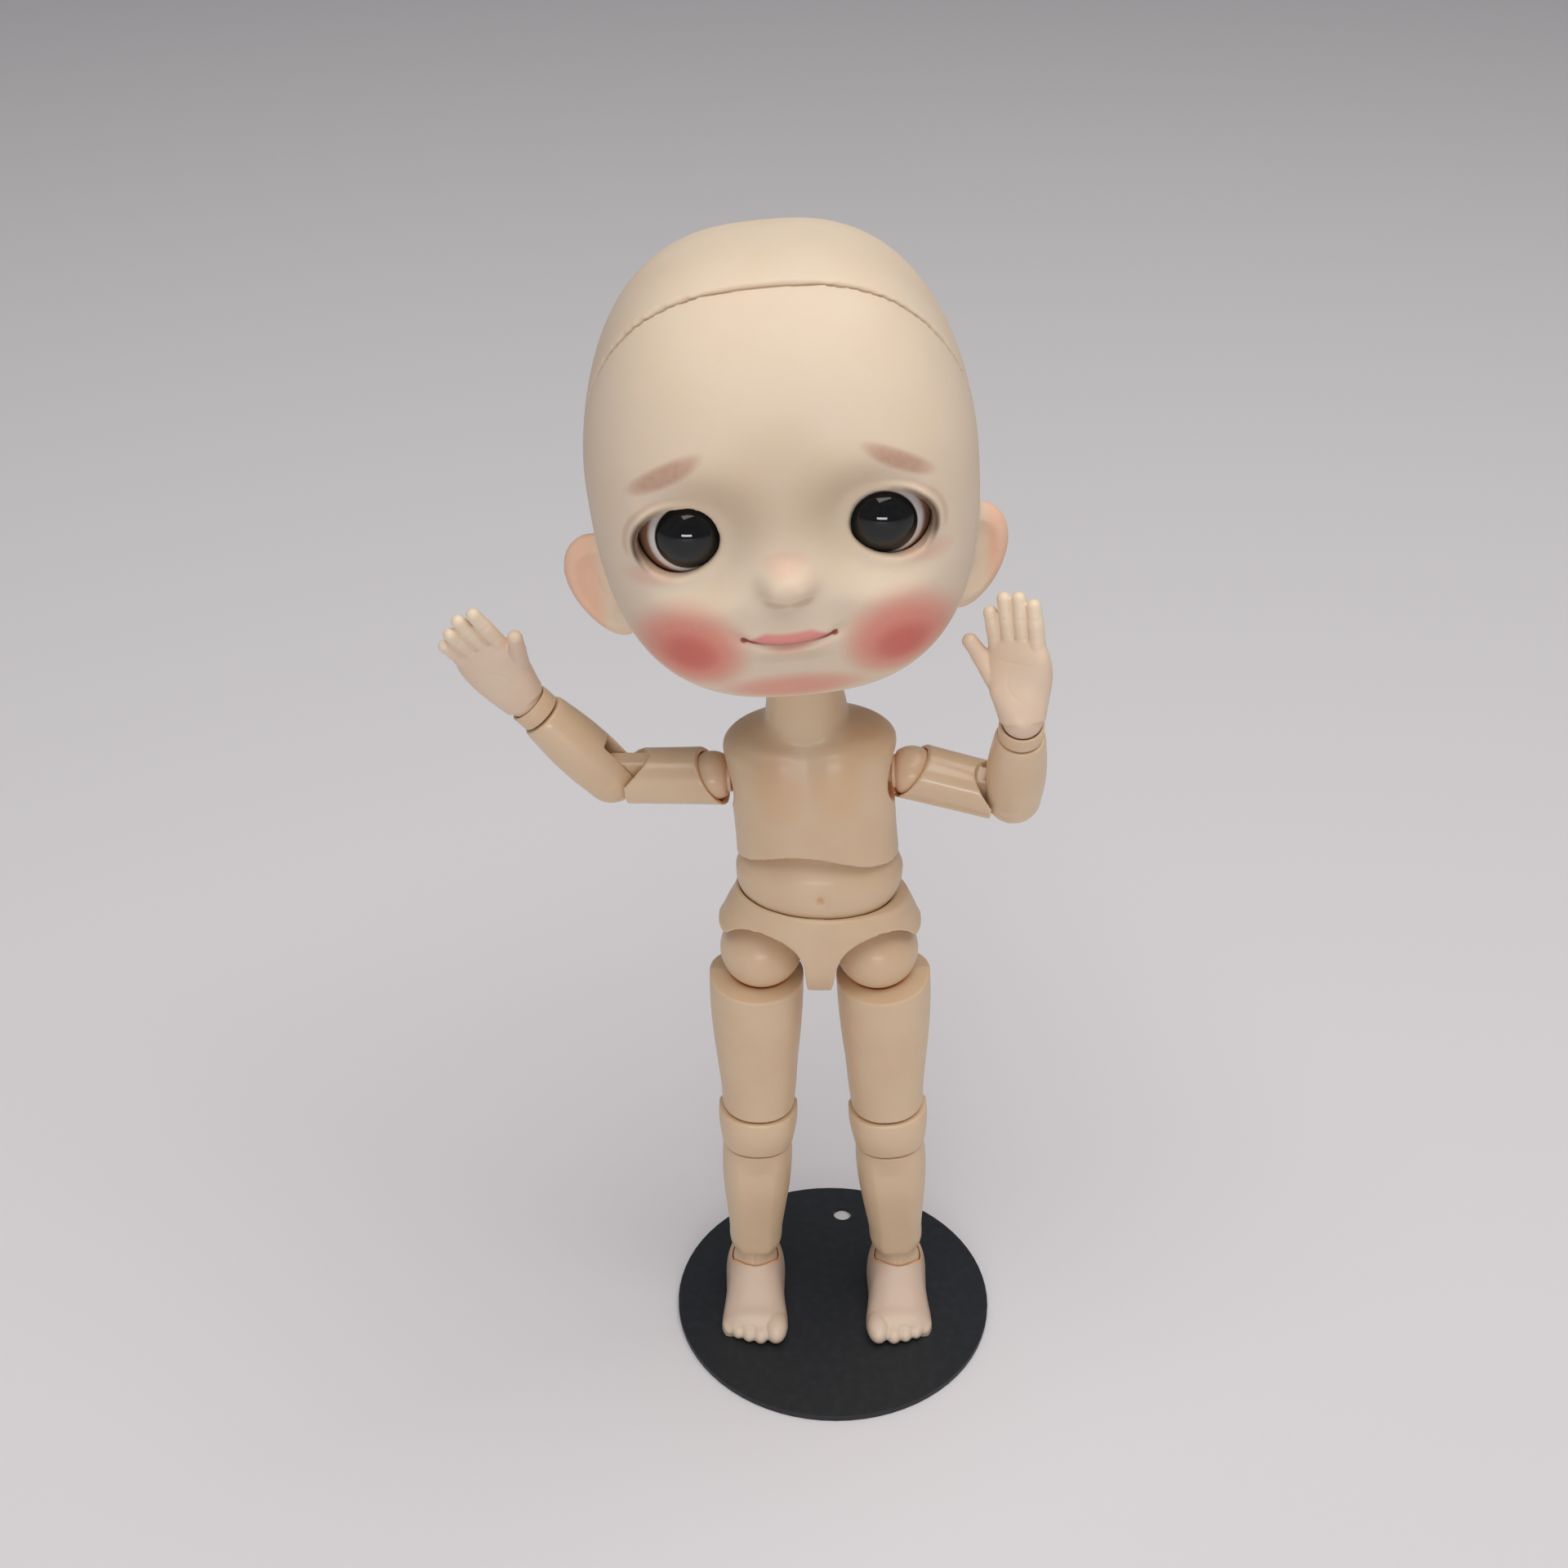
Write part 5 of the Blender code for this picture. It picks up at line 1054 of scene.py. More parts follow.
def made_up_and_shaded(look, base):
    front = look.y.ramp(-6.0, -12.0)
    grain = noise_on(look.here, 0.6, 4.0)

    def mark(base, paint, share, *where):
        return (spot(look, *where) * front * share).blend(base, paint)

    # Warm shade beside the nose's bridge, between the brows and under the mouth
    for side in (RIGHT, LEFT):
        base = mark(base, SHADE, 0.36, side * 6.0, 24.5, 4.8, 5.0, 0, 0.95)
    base = mark(base, SHADE, 0.26, 0, 27.0, 5.5, 5.5, 0, 0.95)
    base = mark(base, SHADE, 0.34, MOUTH_AT[0], MOUTH_AT[1] - 1.5, 3.6, 0.9, 0, 0.9)
    for place, core in zip(BLUSHES, BLUSH_CORES):
        wide = spot(look, *place, 5.0, 4.9, 0, 0.85) * front
        base = (wide * (0.78 + (grain - 0.5) * 0.12)).blend(base, BLUSH)
        base = mark(base, BLUSH_CORE, 0.55, *core, 2.4, 2.2, 0, 0.95)
    base = mark(base, BLUSH, 0.55, -0.8, 3.6, 6.2, 2.2, 0, 0.9)
    base = mark(base, BLUSH, 0.18, NOSE_AT[0], NOSE_AT[1] + 2.2, 2.0, 0.9, 0, 0.9)
    for side in (RIGHT, LEFT):
        nostril = (NOSE_AT[0] + side * 1.2, NOSE_AT[1] - 1.9)
        base = mark(base, SHADE, 0.70, *nostril, 1.2, 0.6, side * 12, 0.8)
        # Pink rims at the outer corners of the eyes
        base = mark(base, BLUSH, 0.20, side * 13.2, 18.1, 2.8, 1.1, -side * 12, 0.9)
    # The mouth: lips first, then the line between them
    lip = (look.x - MOUTH_AT[0]) / MOUTH_HALF_WIDTH
    smile = look.z - MOUTH_AT[1] - lip * lip * SMILE_LIFT
    full = lip.size().ramp(1.05, 0.45)
    upper = smile.ramp(-0.15, 0.10) * (smile - full * 1.45).ramp(0.35, -0.25) * lip.size().ramp(1.08, 0.9)
    lower = smile.ramp(-1.25, -0.35) * smile.ramp(0.1, -0.1) * lip.size().ramp(0.70, 0.20) * 0.35
    base = (upper.maths("MAXIMUM", upper, lower) * front * 0.85).blend(base, LIP)
    ends = lip.size().ramp(1.12, 1.0)
    dark = 0.30 + lip.size().ramp(0.45, 0.95) * 0.70
    line = smile.size().ramp(0.24, 0.06) * ends * dark * front
    base = line.blend(base, LIP_LINE)
    for side in (RIGHT, LEFT):
        corner = (MOUTH_AT[0] + side * MOUTH_HALF_WIDTH * 1.02, MOUTH_AT[1] + SMILE_LIFT)
        base = mark(base, LIP_LINE, 0.9, *corner, 0.36, 0.30, 0, 0.7)
    # Brows are stroked on with a dry brush
    for across, up, tilt, long, thick in BROWS:
        hair = noise_on(look.here, 0.7, 3.0).ramp(0.25, 0.75)
        stroke = spot(look, across, up, long, thick, tilt, 0.75) * front
        base = (stroke * (0.62 + hair * 0.12)).blend(base, BROW)
    # Lash line and lid crease follow the eye's opening
    for side in (RIGHT, LEFT):
        c, s = math.cos(EYE_OPEN_TILT), math.sin(EYE_OPEN_TILT)
        across = look.x * side - (EYE_SPREAD + EYE_OPEN_OUT)
        up = look.z - (EYE_HEIGHT + EYE_OPEN_UP)
        along, over = across * c - up * s, across * s + up * c
        rim = ((along / EYE_OPEN_HALF_WIDTH) ** 2 + (over / EYE_OPEN_HALF_HEIGHT) ** 2) ** 0.5
        outer = along.ramp(-3.2, 3.4) * over.ramp(-2.2, 0.4) * (look.x * side).ramp(2.0, 3.0)
        lash = rim.ramp(1.26, 1.12) * outer * front
        base = (lash * 0.95).blend(base, LASH)
        crease = (rim - 1.36).size().ramp(0.11, 0.01) * outer * over.ramp(-0.4, 1.2) * front
        base = (crease * 0.32).blend(base, BROW)
        inside = rim.ramp(1.10, 1.0) * (look.x * side).ramp(2.0, 3.0) * look.y.ramp(-15.0, -17.0)
        base = (inside * 0.35).blend(base, SHADE)
    ears = look.x.size().ramp(19.6, 21.2) * look.z.ramp(17.0, 15.6)
    base = (ears * 0.72).blend(base, EAR_WARM)
    return base


head_look = resin("head_resin", head_axes, FACE, FACE_DEEP, 0.60, 0.0, made_up_and_shaded, 0.008)
settle(shell, head_axes, "head", "head_skin", head_look, "head_shell")
cap_look = resin("cap_resin", head_axes, FACE, FACE_DEEP, 0.60, 0.0, None, 0.008)
settle(cap, head_axes, "head_cap", "head_skin", cap_look, "head_cap")

# %% [markdown]
# ## Eyes
#
# The eyes are glass balls with a wide black iris under a clear dome, bedded in putty from behind.
# The white shows only as a thin crescent at the sides. The dome is what gives the lively glint.

# %% Glass eyes and putty
GAZE = {RIGHT: Vector((0.054, -0.993, 0.082)), LEFT: Vector((0.021, -0.995, -0.014))}
IRIS_ANGLE = math.radians(38.5)
PUPIL_ANGLE = math.radians(17)
IRIS_DARK = colour(0.003, 0.003, 0.004)
IRIS_LIGHT = colour(0.008, 0.007, 0.007)
SCLERA = colour(0.80, 0.755, 0.72)
SCLERA_OUTER_BROWN = colour(0.34, 0.13, 0.055)
PUTTY = colour(0.36, 0.15, 0.05)
DOME_HEIGHT = 0.45


def domed(gaze):
    """The clear dome: the ball swells a little over the iris."""

    def change(places):
        ways = places / np.linalg.norm(places, axis=1)[:, None]
        angle = np.arccos(np.clip(ways @ np.array(gaze), -1, 1))
        return places + ways * (DOME_HEIGHT * np.clip(1 - (angle / IRIS_ANGLE) ** 2, 0, 1))[:, None]

    return change


for side, name in SIDES:
    gaze = GAZE[side].normalized()
    eye_axes = head_axes @ Matrix.Translation(eye_places[side])
    eye = with_modifier(ball(name + "_glass_eye", EYE_RADIUS), "SUBSURF", levels=1, render_levels=1)
    moved(eye, domed(gaze))
    look = Finish(
        name + "_eye_glass", eye_axes, Roughness=0.05, Specular_IOR_Level=0.5
    )
    towards = look.x * gaze.x + look.y * gaze.y + look.z * gaze.z
    radius = (look.x * look.x + look.y * look.y + look.z * look.z) ** 0.5
    facing = towards / radius
    iris = facing.ramp(math.cos(IRIS_ANGLE + 0.03), math.cos(IRIS_ANGLE - 0.02))
    pupil = facing.ramp(math.cos(PUPIL_ANGLE + 0.05), math.cos(PUPIL_ANGLE - 0.05))
    fibres = noise_on(look.here, 0.5, 5.0).ramp(0.35, 0.7)
    iris_colour = (fibres * (1 - pupil)).blend(IRIS_DARK, IRIS_LIGHT)
    veins = noise_on(look.here, 0.8, 6.0).ramp(0.55, 0.8) * 0.12
    # Past a thin white crescent the ball turns orange-brown
    white = (facing.ramp(math.cos(math.radians(45)), math.cos(math.radians(52))) * 0.9 + veins).blend(
        SCLERA, SCLERA_OUTER_BROWN
    )
    look.feed("Base Color", iris.blend(white, iris_colour))
    look.relief(noise_on(look.here, 2.5), 0.004)
    settle(eye, eye_axes, "head", "eye_glass", look, name + "_eye")

    front = Vector((0, PUTTY_FRONT, 0))
    putty = rod(name + "_putty_bed", PUTTY_RADIUS, front, front + Vector((0, PUTTY_LENGTH, 0)))
    carve(putty, ball("bed", EYE_RADIUS + BALL_GAP))
    melt(putty, 0.2)
    look = Finish(name + "_putty", eye_axes, Specular_IOR_Level=0.3)
    clay = noise_on(look.here, 1.4, 5.0)
    look.feed("Base Color", clay.ramp(0.3, 0.7).blend(PUTTY, colour(0.50, 0.25, 0.10)))
    look.feed("Roughness", 0.62 + clay * 0.2)
    look.relief(clay, 0.08)
    settle(putty, eye_axes, "head", "putty", look, name + "_eye_putty")

# %% [markdown]
# ## Arms
#
# An upper arm is a short sleeve with a slanting top, cupped over the shoulder ball. The forearm ends
# in a knuckle that folds into the sleeve on a steel pin, beside a tongue. A narrow cup at the wrist
# turns in the forearm and holds the ball of the hand.

# %% Upper arms, forearms and wrists
ARM_GRAIN = 0.12
ARM_LENGTH = 11.6
ARM_HALF_DEPTH = 3.1
ARM_END_SLOPE = math.radians(27)
ARM_SHARES = (
    (0.00, 1.02, 1.04), (0.20, 1.02, 1.04), (0.50, 0.99, 1.02), (0.80, 0.97, 1.00), (1.00, 0.96, 1.00),
)
ELBOW_RADIUS = 3.1
ELBOW_RIM_BACK = 1.9
ELBOW_TONGUE_HALF = 1.05
ELBOW_TONGUE_RADIUS = 2.6
ELBOW_PIN_RADIUS = 0.5
ELBOW_PIN_HALF_LENGTH = 2.3
ELBOW_MOST_BEND = math.radians(110)
FOREARM_LENGTH = 11.0
FOREARM_HALF_WIDTH = 3.2
FOREARM_HALF_DEPTH = 3.0
FOREARM_SHARES = (
    (0.00, 0.96, 1.00), (0.30, 1.03, 1.03), (0.60, 1.00, 1.02), (0.85, 0.91, 0.95), (0.96, 0.86, 0.91),
    (1.00, 0.82, 0.87),
)
WRIST_RADIUS = 2.45
WRIST_RIM = 2.15
WRIST_STEM_RADIUS = 1.1
WRIST_STEM_DEPTH = 3.2
HAND_BALL_RADIUS = 2.2
HAND_PIVOT_OUT = 3.0


def tongue_outline(across, level, radius, root):
    """The side view of a hinge tongue: round about the pin, straight to its root."""
    away = 1 if root < level else -1
    crown = [(across + out, level + away * rise) for out, rise in arc(radius, 0, 0, math.pi)]
    return [(across + radius, root)] + crown + [(across - radius, root)]


def elbow_bore(level):
    low, high = (0, -ELBOW_PIN_HALF_LENGTH - SEAM_GAP, level), (0, ELBOW_PIN_HALF_LENGTH + SEAM_GAP, level)
    return rod("bore", ELBOW_PIN_RADIUS + PIN_GAP, low, high)


def shoulder_room(side):
    """The shoulder's disc and stem with air round them, on the chest's side of its ball."""
    face = SHOULDER_DISC_OUT + SHOULDER_DISC_THICKNESS
    disc = math.sqrt(SHOULDER_DISC_RADIUS ** 2 - face ** 2) + BALL_GAP
    room = rod("disc", disc, (-side * SHOULDER_DISC_OUT * 0.8, 0, 0), (-side * (face + BALL_GAP), 0, 0))
    end = (-side * SHOULDER_STEM_LENGTH, 0, 0)
    stem = rod("stem", SHOULDER_STEM_RADIUS + BALL_GAP, (-side * face, 0, 0), end)
    return carve(room, stem, "UNION")


def make_upper_arm(name, side, side_name):
    start = -ARM_END_BACK - OVERRUN
    arm = limb(name, start, ARM_LENGTH, ARM_HALF_WIDTH, ARM_HALF_DEPTH, ARM_SHARES, 2.1)
    past = ARM_HALF_WIDTH + OVERRUN
    rise = past * math.tan(ARM_END_SLOPE)
    far = start - past
    slant = [(-past, -rise), (past, rise), (past, far), (-past, far)]
    carve(arm, prism("slant", slant, -past, past, along_y=True))
    carve(arm, ball("cup", SHOULDER_BALL_RADIUS + SEAT_GAP))
    on_arm, on_shoulder = side_axes[side]["arm"], side_axes[side]["shoulder"]
    for make_tool in (lambda: shoulder_room(side), lambda: ball("ball", SHOULDER_BALL_RADIUS + SEAT_GAP)):
        cleared(arm, on_arm, side_name + "_arm_raise", on_shoulder, make_tool)
    carve(arm, block("rim", (-past, -past, ARM_LENGTH - ELBOW_RIM_BACK), (past, past, ARM_LENGTH + past)))
    pivot = Vector((0, 0, ARM_LENGTH))
    carve(arm, ball("seat", ELBOW_RADIUS + SEAT_GAP, pivot))
    fold = Vector((math.sin(ELBOW_MOST_BEND), 0, math.cos(ELBOW_MOST_BEND)))
    room = FOREARM_HALF_WIDTH * max(share[1] for share in FOREARM_SHARES) + SEAT_GAP
    carve(arm, rod("fold", room, pivot, pivot + fold * FOREARM_LENGTH))
    root = ARM_LENGTH - ELBOW_RADIUS * 1.5
    outline = tongue_outline(0, ARM_LENGTH, ELBOW_TONGUE_RADIUS, root)
    carve(arm, prism("tongue", outline, -ELBOW_TONGUE_HALF, ELBOW_TONGUE_HALF, along_y=True), "UNION")
    carve(arm, elbow_bore(ARM_LENGTH))
    return melt(arm, ARM_GRAIN)


def make_forearm(name):
    arm = limb(name, 0, FOREARM_LENGTH, FOREARM_HALF_WIDTH, FOREARM_HALF_DEPTH, FOREARM_SHARES, 2.1)
    carve(arm, ball("knuckle", ELBOW_RADIUS), "UNION")
    half = ELBOW_TONGUE_HALF + SEAT_GAP
    room = ELBOW_TONGUE_RADIUS + SEAT_GAP
    past = FOREARM_HALF_WIDTH + OVERRUN
    lean = ELBOW_MOST_BEND - math.pi / 2
    crown = arc(room, 0, math.pi / 2 + lean, math.pi)
    rise = crown[0][1] + (past - crown[0][0]) * math.tan(lean)
    slot = [(-room, -past), (past, -past), (past, rise)] + crown
    carve(arm, prism("slot", slot, -half, half, along_y=True))
    carve(arm, elbow_bore(0))
    deep = FOREARM_LENGTH - WRIST_STEM_DEPTH - SEAM_GAP
    end = FOREARM_LENGTH + OVERRUN
    carve(arm, rod("bore", WRIST_STEM_RADIUS + PIN_GAP, (0, 0, deep), (0, 0, end)))
    return melt(arm, ARM_GRAIN)


def make_wrist(name):
    room = HAND_BALL_RADIUS + SEAT_GAP
    rim_angle = -math.asin((HAND_PIVOT_OUT - WRIST_RIM) / room)
    profile = [(0, -WRIST_STEM_DEPTH), (WRIST_STEM_RADIUS, -WRIST_STEM_DEPTH), (WRIST_STEM_RADIUS, SEAM_GAP)]
    profile += [(WRIST_RADIUS, SEAM_GAP), (WRIST_RADIUS, WRIST_RIM)]
    profile += arc(room, HAND_PIVOT_OUT, rim_angle, -math.pi / 2)
    return softened(turned(name, profile), TURNED_ROUND)


for side, name in SIDES:
    place = side_axes[side]["arm"]
    seats = [((0, 0, 0), SHOULDER_BALL_RADIUS + SEAT_GAP)]
    look = resin(name + "_upper_arm_resin", place, BODY, BODY_DEEP, 0.32, 0.35, seats=seats)
    settle(
        make_upper_arm(name + "_arm_cast", side, name), place, name + "_upper_arm", "body_skin", look,
        name + "_upper_arm"
    )
    place = side_axes[side]["forearm"]
    look = resin(name + "_forearm_resin", place, BODY, BODY_DEEP, 0.36, 0.25)
    settle(
        make_forearm(name + "_forearm_cast"), place, name + "_forearm", "body_skin", look, name + "_forearm"
    )
    place = side_axes[side]["wrist"]
    look = resin(name + "_wrist_resin", place, JOINT, JOINT_DEEP, 0.40, 0.1)
    settle(make_wrist(name + "_wrist_turned"), place, name + "_wrist", "hand_skin", look, name + "_wrist_cup")

# %% [markdown]
# ## Hands
#
# The hands are small and soft, with a round ball at the wrist, a plump palm and tapering fingers.
# The fingers are turned, curved a little towards the palm and fused to it, then the lines of the
# palm and of the finger joints are pressed in.

# %% Hands
HAND_GRAIN = 0.085
PALM_START = -0.15
PALM_LENGTH = 8.6
PALM_HALF_WIDTH = 3.5
PALM_HALF_DEPTH = 1.5
PALM_SHARES = (
    (0.00, 0.70, 1.45), (0.16, 0.79, 1.42), (0.38, 0.93, 1.24), (0.62, 1.03, 1.06), (0.84, 1.02, 0.84),
    (1.00, 0.88, 0.58),
)
FINGER_RADIUS = 0.92
FINGER_LENGTH = 6.3
THUMB_RADIUS = 1.0
THUMB_LENGTH = 6.6
THUMB_ANGLE = math.radians(30)
THUMB_LIFT = math.radians(8)
THUMB_ROOT_SHARE = 1.25
THUMB_ROOT = 3.6
PALM_LINE_DEPTH = 0.045
FINGER_TAPER_SHARES = ((0.0, 1.0), (0.2, 1.0), (0.42, 0.93), (0.55, 0.96), (0.72, 0.88), (0.84, 0.86))
# Each finger: place across the palm, length, fan in degrees and curl in radians a millimetre
FINGER_SHARES = {
    RIGHT: ((-0.70, 0.68, 2, 0.10), (-0.24, 0.86, 1, 0.07), (0.23, 0.97, 0, 0.03), (0.70, 0.94, 1.5, 0.02)),
    LEFT: (
        (-0.68, 0.86, -1, 0.02), (-0.22, 0.98, -0.5, 0.02), (0.23, 0.98, 0.5, 0.03), (0.69, 0.74, 2.5, 0.05),
    ),
}
HAND_TWIST = {RIGHT: math.radians(-8), LEFT: math.radians(34)}


def finger(radius, length, curl=0.02):
    """A finger along Z with a rounded tip, which curls towards the palm."""
    profile = [(0, 0)] + [(radius * wide, length * along) for along, wide in FINGER_TAPER_SHARES]
    tip = radius * FINGER_TAPER_SHARES[-1][1]
    profile += arc(tip, length - tip, 0.15, math.pi / 2, 8)
    obj = turned("finger", profile, 32)

    def curled(places):
        turn = curl * places[:, 2]
        depth = places[:, 1].copy()
        places[:, 1] = depth * np.cos(turn) - (1 - np.cos(turn)) / curl
        places[:, 2] = np.sin(turn) / curl + depth * np.sin(turn)
        return places

    return moved(obj, curled)


def wrist_rim():
    """The wrist's ring with a little air round it, less the ball that it holds."""
    rim = rod("rim", WRIST_RADIUS + SEAT_GAP, (0, 0, 0), (0, 0, WRIST_RIM + SEAT_GAP))
    return carve(rim, ball("hollow", HAND_BALL_RADIUS + MERGE, (0, 0, HAND_PIVOT_OUT)))


def make_hand(name, side, side_name):
    """Palm to -Y; the thumb is towards the head."""
    thumb_side = -side
    hand = limb(name, PALM_START, PALM_LENGTH, PALM_HALF_WIDTH, PALM_HALF_DEPTH, PALM_SHARES, 2.6)
    parts = [ball("base", HAND_BALL_RADIUS)]
    knuckles = PALM_LENGTH - FINGER_RADIUS * 2
    for place, long, fan, curl in FINGER_SHARES[side]:
        digit = finger(FINGER_RADIUS, FINGER_LENGTH * long + FINGER_RADIUS, curl)
        turn = Matrix.Rotation(thumb_side * math.radians(fan), 4, "Y")
        parts.append(
            transformed(digit, turn, Matrix.Translation((thumb_side * PALM_HALF_WIDTH * place, 0, knuckles)))
        )
    thumb = finger(THUMB_RADIUS, THUMB_LENGTH)
    root = PALM_HALF_WIDTH - THUMB_RADIUS * THUMB_ROOT_SHARE
    parts.append(
        transformed(
            thumb,
            Matrix.Rotation(THUMB_LIFT, 4, "X"),
            Matrix.Rotation(thumb_side * THUMB_ANGLE, 4, "Y"),
            Matrix.Translation((thumb_side * root, 0, THUMB_ROOT)),
        )
    )
    pad = ball("pad", 1.75, (thumb_side * 1.75, -0.55, 3.4), (0.85, 0.62, 1.15))
    heel = ball("heel", 1.6, (-thumb_side * 1.75, -0.45, 4.2), (0.8, 0.62, 1.4))
    melt(join(hand, *parts, pad, heel), HAND_GRAIN, 8)
    wrist, bend = side_axes[side]["wrist"], side_name + "_wrist_bend"
    cleared(hand, side_axes[side]["hand"], bend, wrist, wrist_rim)
    melt(hand, HAND_GRAIN, 3)

    def creased(places):
        """Presses the lines of the palm and of the finger joints."""
        x, y, z = places.T
        palm = np.clip(-y / 0.6, 0, 1)
        fingers = np.clip((z - PALM_LENGTH) / 0.8, 0, 1)
        lines = bump(z - PALM_LENGTH - 0.3, 0.13) + bump(z - PALM_LENGTH - 2.3, 0.12) * fingers
        curve = thumb_side * x + 0.32 * (z - 4.0) ** 2 - 1.0
        lines += 0.8 * bump(curve, 0.16) * bump(z - 4.6, 1.6)
        lines += 0.7 * bump(z - 6.4 - 0.16 * thumb_side * x, 0.14) * bump(x, 2.0)
        places[:, 1] += PALM_LINE_DEPTH * lines * palm
        return places

    def twisted(places):
        """The hand is turned a little about its own length, more towards the fingers."""
        share = np.clip((places[:, 2] - 1.0) / (PALM_LENGTH - 2.0), 0, 1)
        turn = thumb_side * HAND_TWIST[side] * share * share * (3 - 2 * share)
        x, y = places[:, 0].copy(), places[:, 1].copy()
        places[:, 0] = x * np.cos(turn) - y * np.sin(turn)
        places[:, 1] = x * np.sin(turn) + y * np.cos(turn)
        return places

    return moved(moved(hand, creased), twisted)


def hand_tone(look, base):
    """The fingers grow paler towards their tips."""
    tips = look.z.ramp(PALM_LENGTH - 1.0, PALM_LENGTH + 3.5)
    return (tips * 0.8).blend(base, TIP)


for side, name in SIDES:
    place = side_axes[side]["hand"]
    look = resin(name + "_hand_resin", place, HAND, HAND_DEEP, 0.46, 0.05, hand_tone, 0.005)
    settle(
        make_hand(name + "_hand_cast", side, name), place, name + "_hand", "hand_skin", look, name + "_hand"
    )

# %% [markdown]
# ## Legs
#
# A large ball carries each thigh. The knee is doubled: a short ring between thigh and shin with a
# tongue into each, on two steel pins, open behind so that the leg can fold. The shin's end holds a
# small ankle ball, and the foot cups over it.

# %% Hip balls, thighs, knees and shins
LEG_GRAIN = 0.16
THIGH_HALF_WIDTH = 5.7
THIGH_HALF_DEPTH = 5.7
THIGH_LENGTH = 24.1
THIGH_CROWN = 0.3
THIGH_BRIM = -3.35
THIGH_BRIM_FALL = math.radians(9)
THIGH_SHARES = (
    (0.00, 0.96, 1.00, 0.09, 0.0), (0.12, 0.98, 1.00, 0.09, 0.0), (0.30, 0.98, 0.99, 0.08, 0.0),
    (0.50, 0.94, 0.95, 0.06, 0.0), (0.72, 0.86, 0.88, 0.03, 0.0), (0.88, 0.81, 0.82),
    (1.00, 0.775, 0.785),
)
KNEE_RAISED = 0.4
KNEE_HALF_WIDTH = 4.7
KNEE_HALF_DEPTH = 4.7
KNEE_HEIGHT = 5.0
KNEE_SHARES = (
    (0.00, 1.03, 1.02), (0.30, 1.04, 1.04, 0.0, -0.01), (0.65, 1.00, 1.02, 0.0, -0.01),
    (1.00, 0.94, 0.95),
)
KNEE_PIN_RADIUS = 0.55
KNEE_PIN_SET = 1.4
KNEE_PIN_BACK = 0.6
KNEE_PIN_HALF_LENGTH = 3.2
KNEE_TONGUE_HALF = 1.0
KNEE_TONGUE_RADIUS = 1.6
LIMB_NOTCH = math.radians(43)
KNEE_NOTCH = math.radians(17)
KNEE_TOP_NOTCH = KNEE_NOTCH * 1.7
KNEE_NOTCH_LEAD = 0.5
SHIN_HALF_WIDTH = 4.4
SHIN_HALF_DEPTH = 4.5
SHIN_LENGTH = 18.5
SHIN_SHARES = (
    (0.00, 0.97, 0.96), (0.18, 1.00, 1.02, 0.0, 0.03), (0.38, 0.97, 1.03, 0.0, 0.05),
    (0.62, 0.87, 0.92, 0.0, 0.03), (0.85, 0.77, 0.79), (0.96, 0.75, 0.76), (1.00, 0.71, 0.72),
)
ANKLE_DROP = 2.4
ANKLE_BALL_RADIUS = 2.9
ANKLE_NECK_RADIUS = 2.45
ANKLE_STEM_RADIUS = 1.2
ANKLE_STEM_DEPTH = 3.4
KNEE_TOP = -(THIGH_LENGTH + SEAM_GAP)
KNEE_BOTTOM = KNEE_TOP - KNEE_HEIGHT
SHIN_TOP = KNEE_BOTTOM - SEAM_GAP
SHIN_BOTTOM = SHIN_TOP - SHIN_LENGTH
UPPER_PIN = KNEE_PIN_SET - THIGH_LENGTH
LOWER_PIN = SHIN_TOP - KNEE_PIN_SET
ANKLE = SHIN_BOTTOM - ANKLE_DROP


def notch(edge, level, angle, past):
    """A wedge behind an edge, open to the back, that gives the knee room to fold."""
    far = edge + past
    outline = [(edge, level), (far, level), (far, level + past * math.tan(angle))]
    return prism("notch", outline, -past, past)


def hinge_slot(level, opens_to, past):
    room = KNEE_TONGUE_RADIUS + SEAM_GAP
    half = KNEE_TONGUE_HALF + SEAM_GAP
    away = 1 if opens_to < level else -1
    low, high = sorted((opens_to, level + away * room))
    return block("slot", (-half, KNEE_PIN_BACK - room, low), (half, past, high))


def hinge_tongue(level, root):
    outline = tongue_outline(KNEE_PIN_BACK, level, KNEE_TONGUE_RADIUS, root)
    return prism("tongue", outline, -KNEE_TONGUE_HALF, KNEE_TONGUE_HALF)


def knee_bore(level):
    reach = KNEE_PIN_HALF_LENGTH + SEAM_GAP
    low, high = (-reach, KNEE_PIN_BACK, level), (reach, KNEE_PIN_BACK, level)
    return rod("bore", KNEE_PIN_RADIUS + PIN_GAP, low, high)


def make_thigh(name, side):
    end = KNEE_RAISED - THIGH_LENGTH
    thigh = limb(name, THIGH_CROWN, end, THIGH_HALF_WIDTH, THIGH_HALF_DEPTH, THIGH_SHARES, 2.1, side)
    past = THIGH_HALF_WIDTH + OVERRUN
    rim = THIGH_BRIM - past * math.tan(THIGH_BRIM_FALL)
    roof = [(0, THIGH_BRIM), (-past, rim), (-past, past), (past, past), (past, rim)]
    carve(thigh, prism("roof", roof, -past, past))
    carve(thigh, ball("cup", HIP_BALL_RADIUS + SEAT_GAP))
    carve(thigh, notch(KNEE_PIN_BACK - KNEE_NOTCH_LEAD, end - MERGE, LIMB_NOTCH, past))
    carve(thigh, hinge_slot(UPPER_PIN, -THIGH_LENGTH - OVERRUN, past))
    carve(thigh, knee_bore(UPPER_PIN))
    return melt(thigh, LEG_GRAIN)


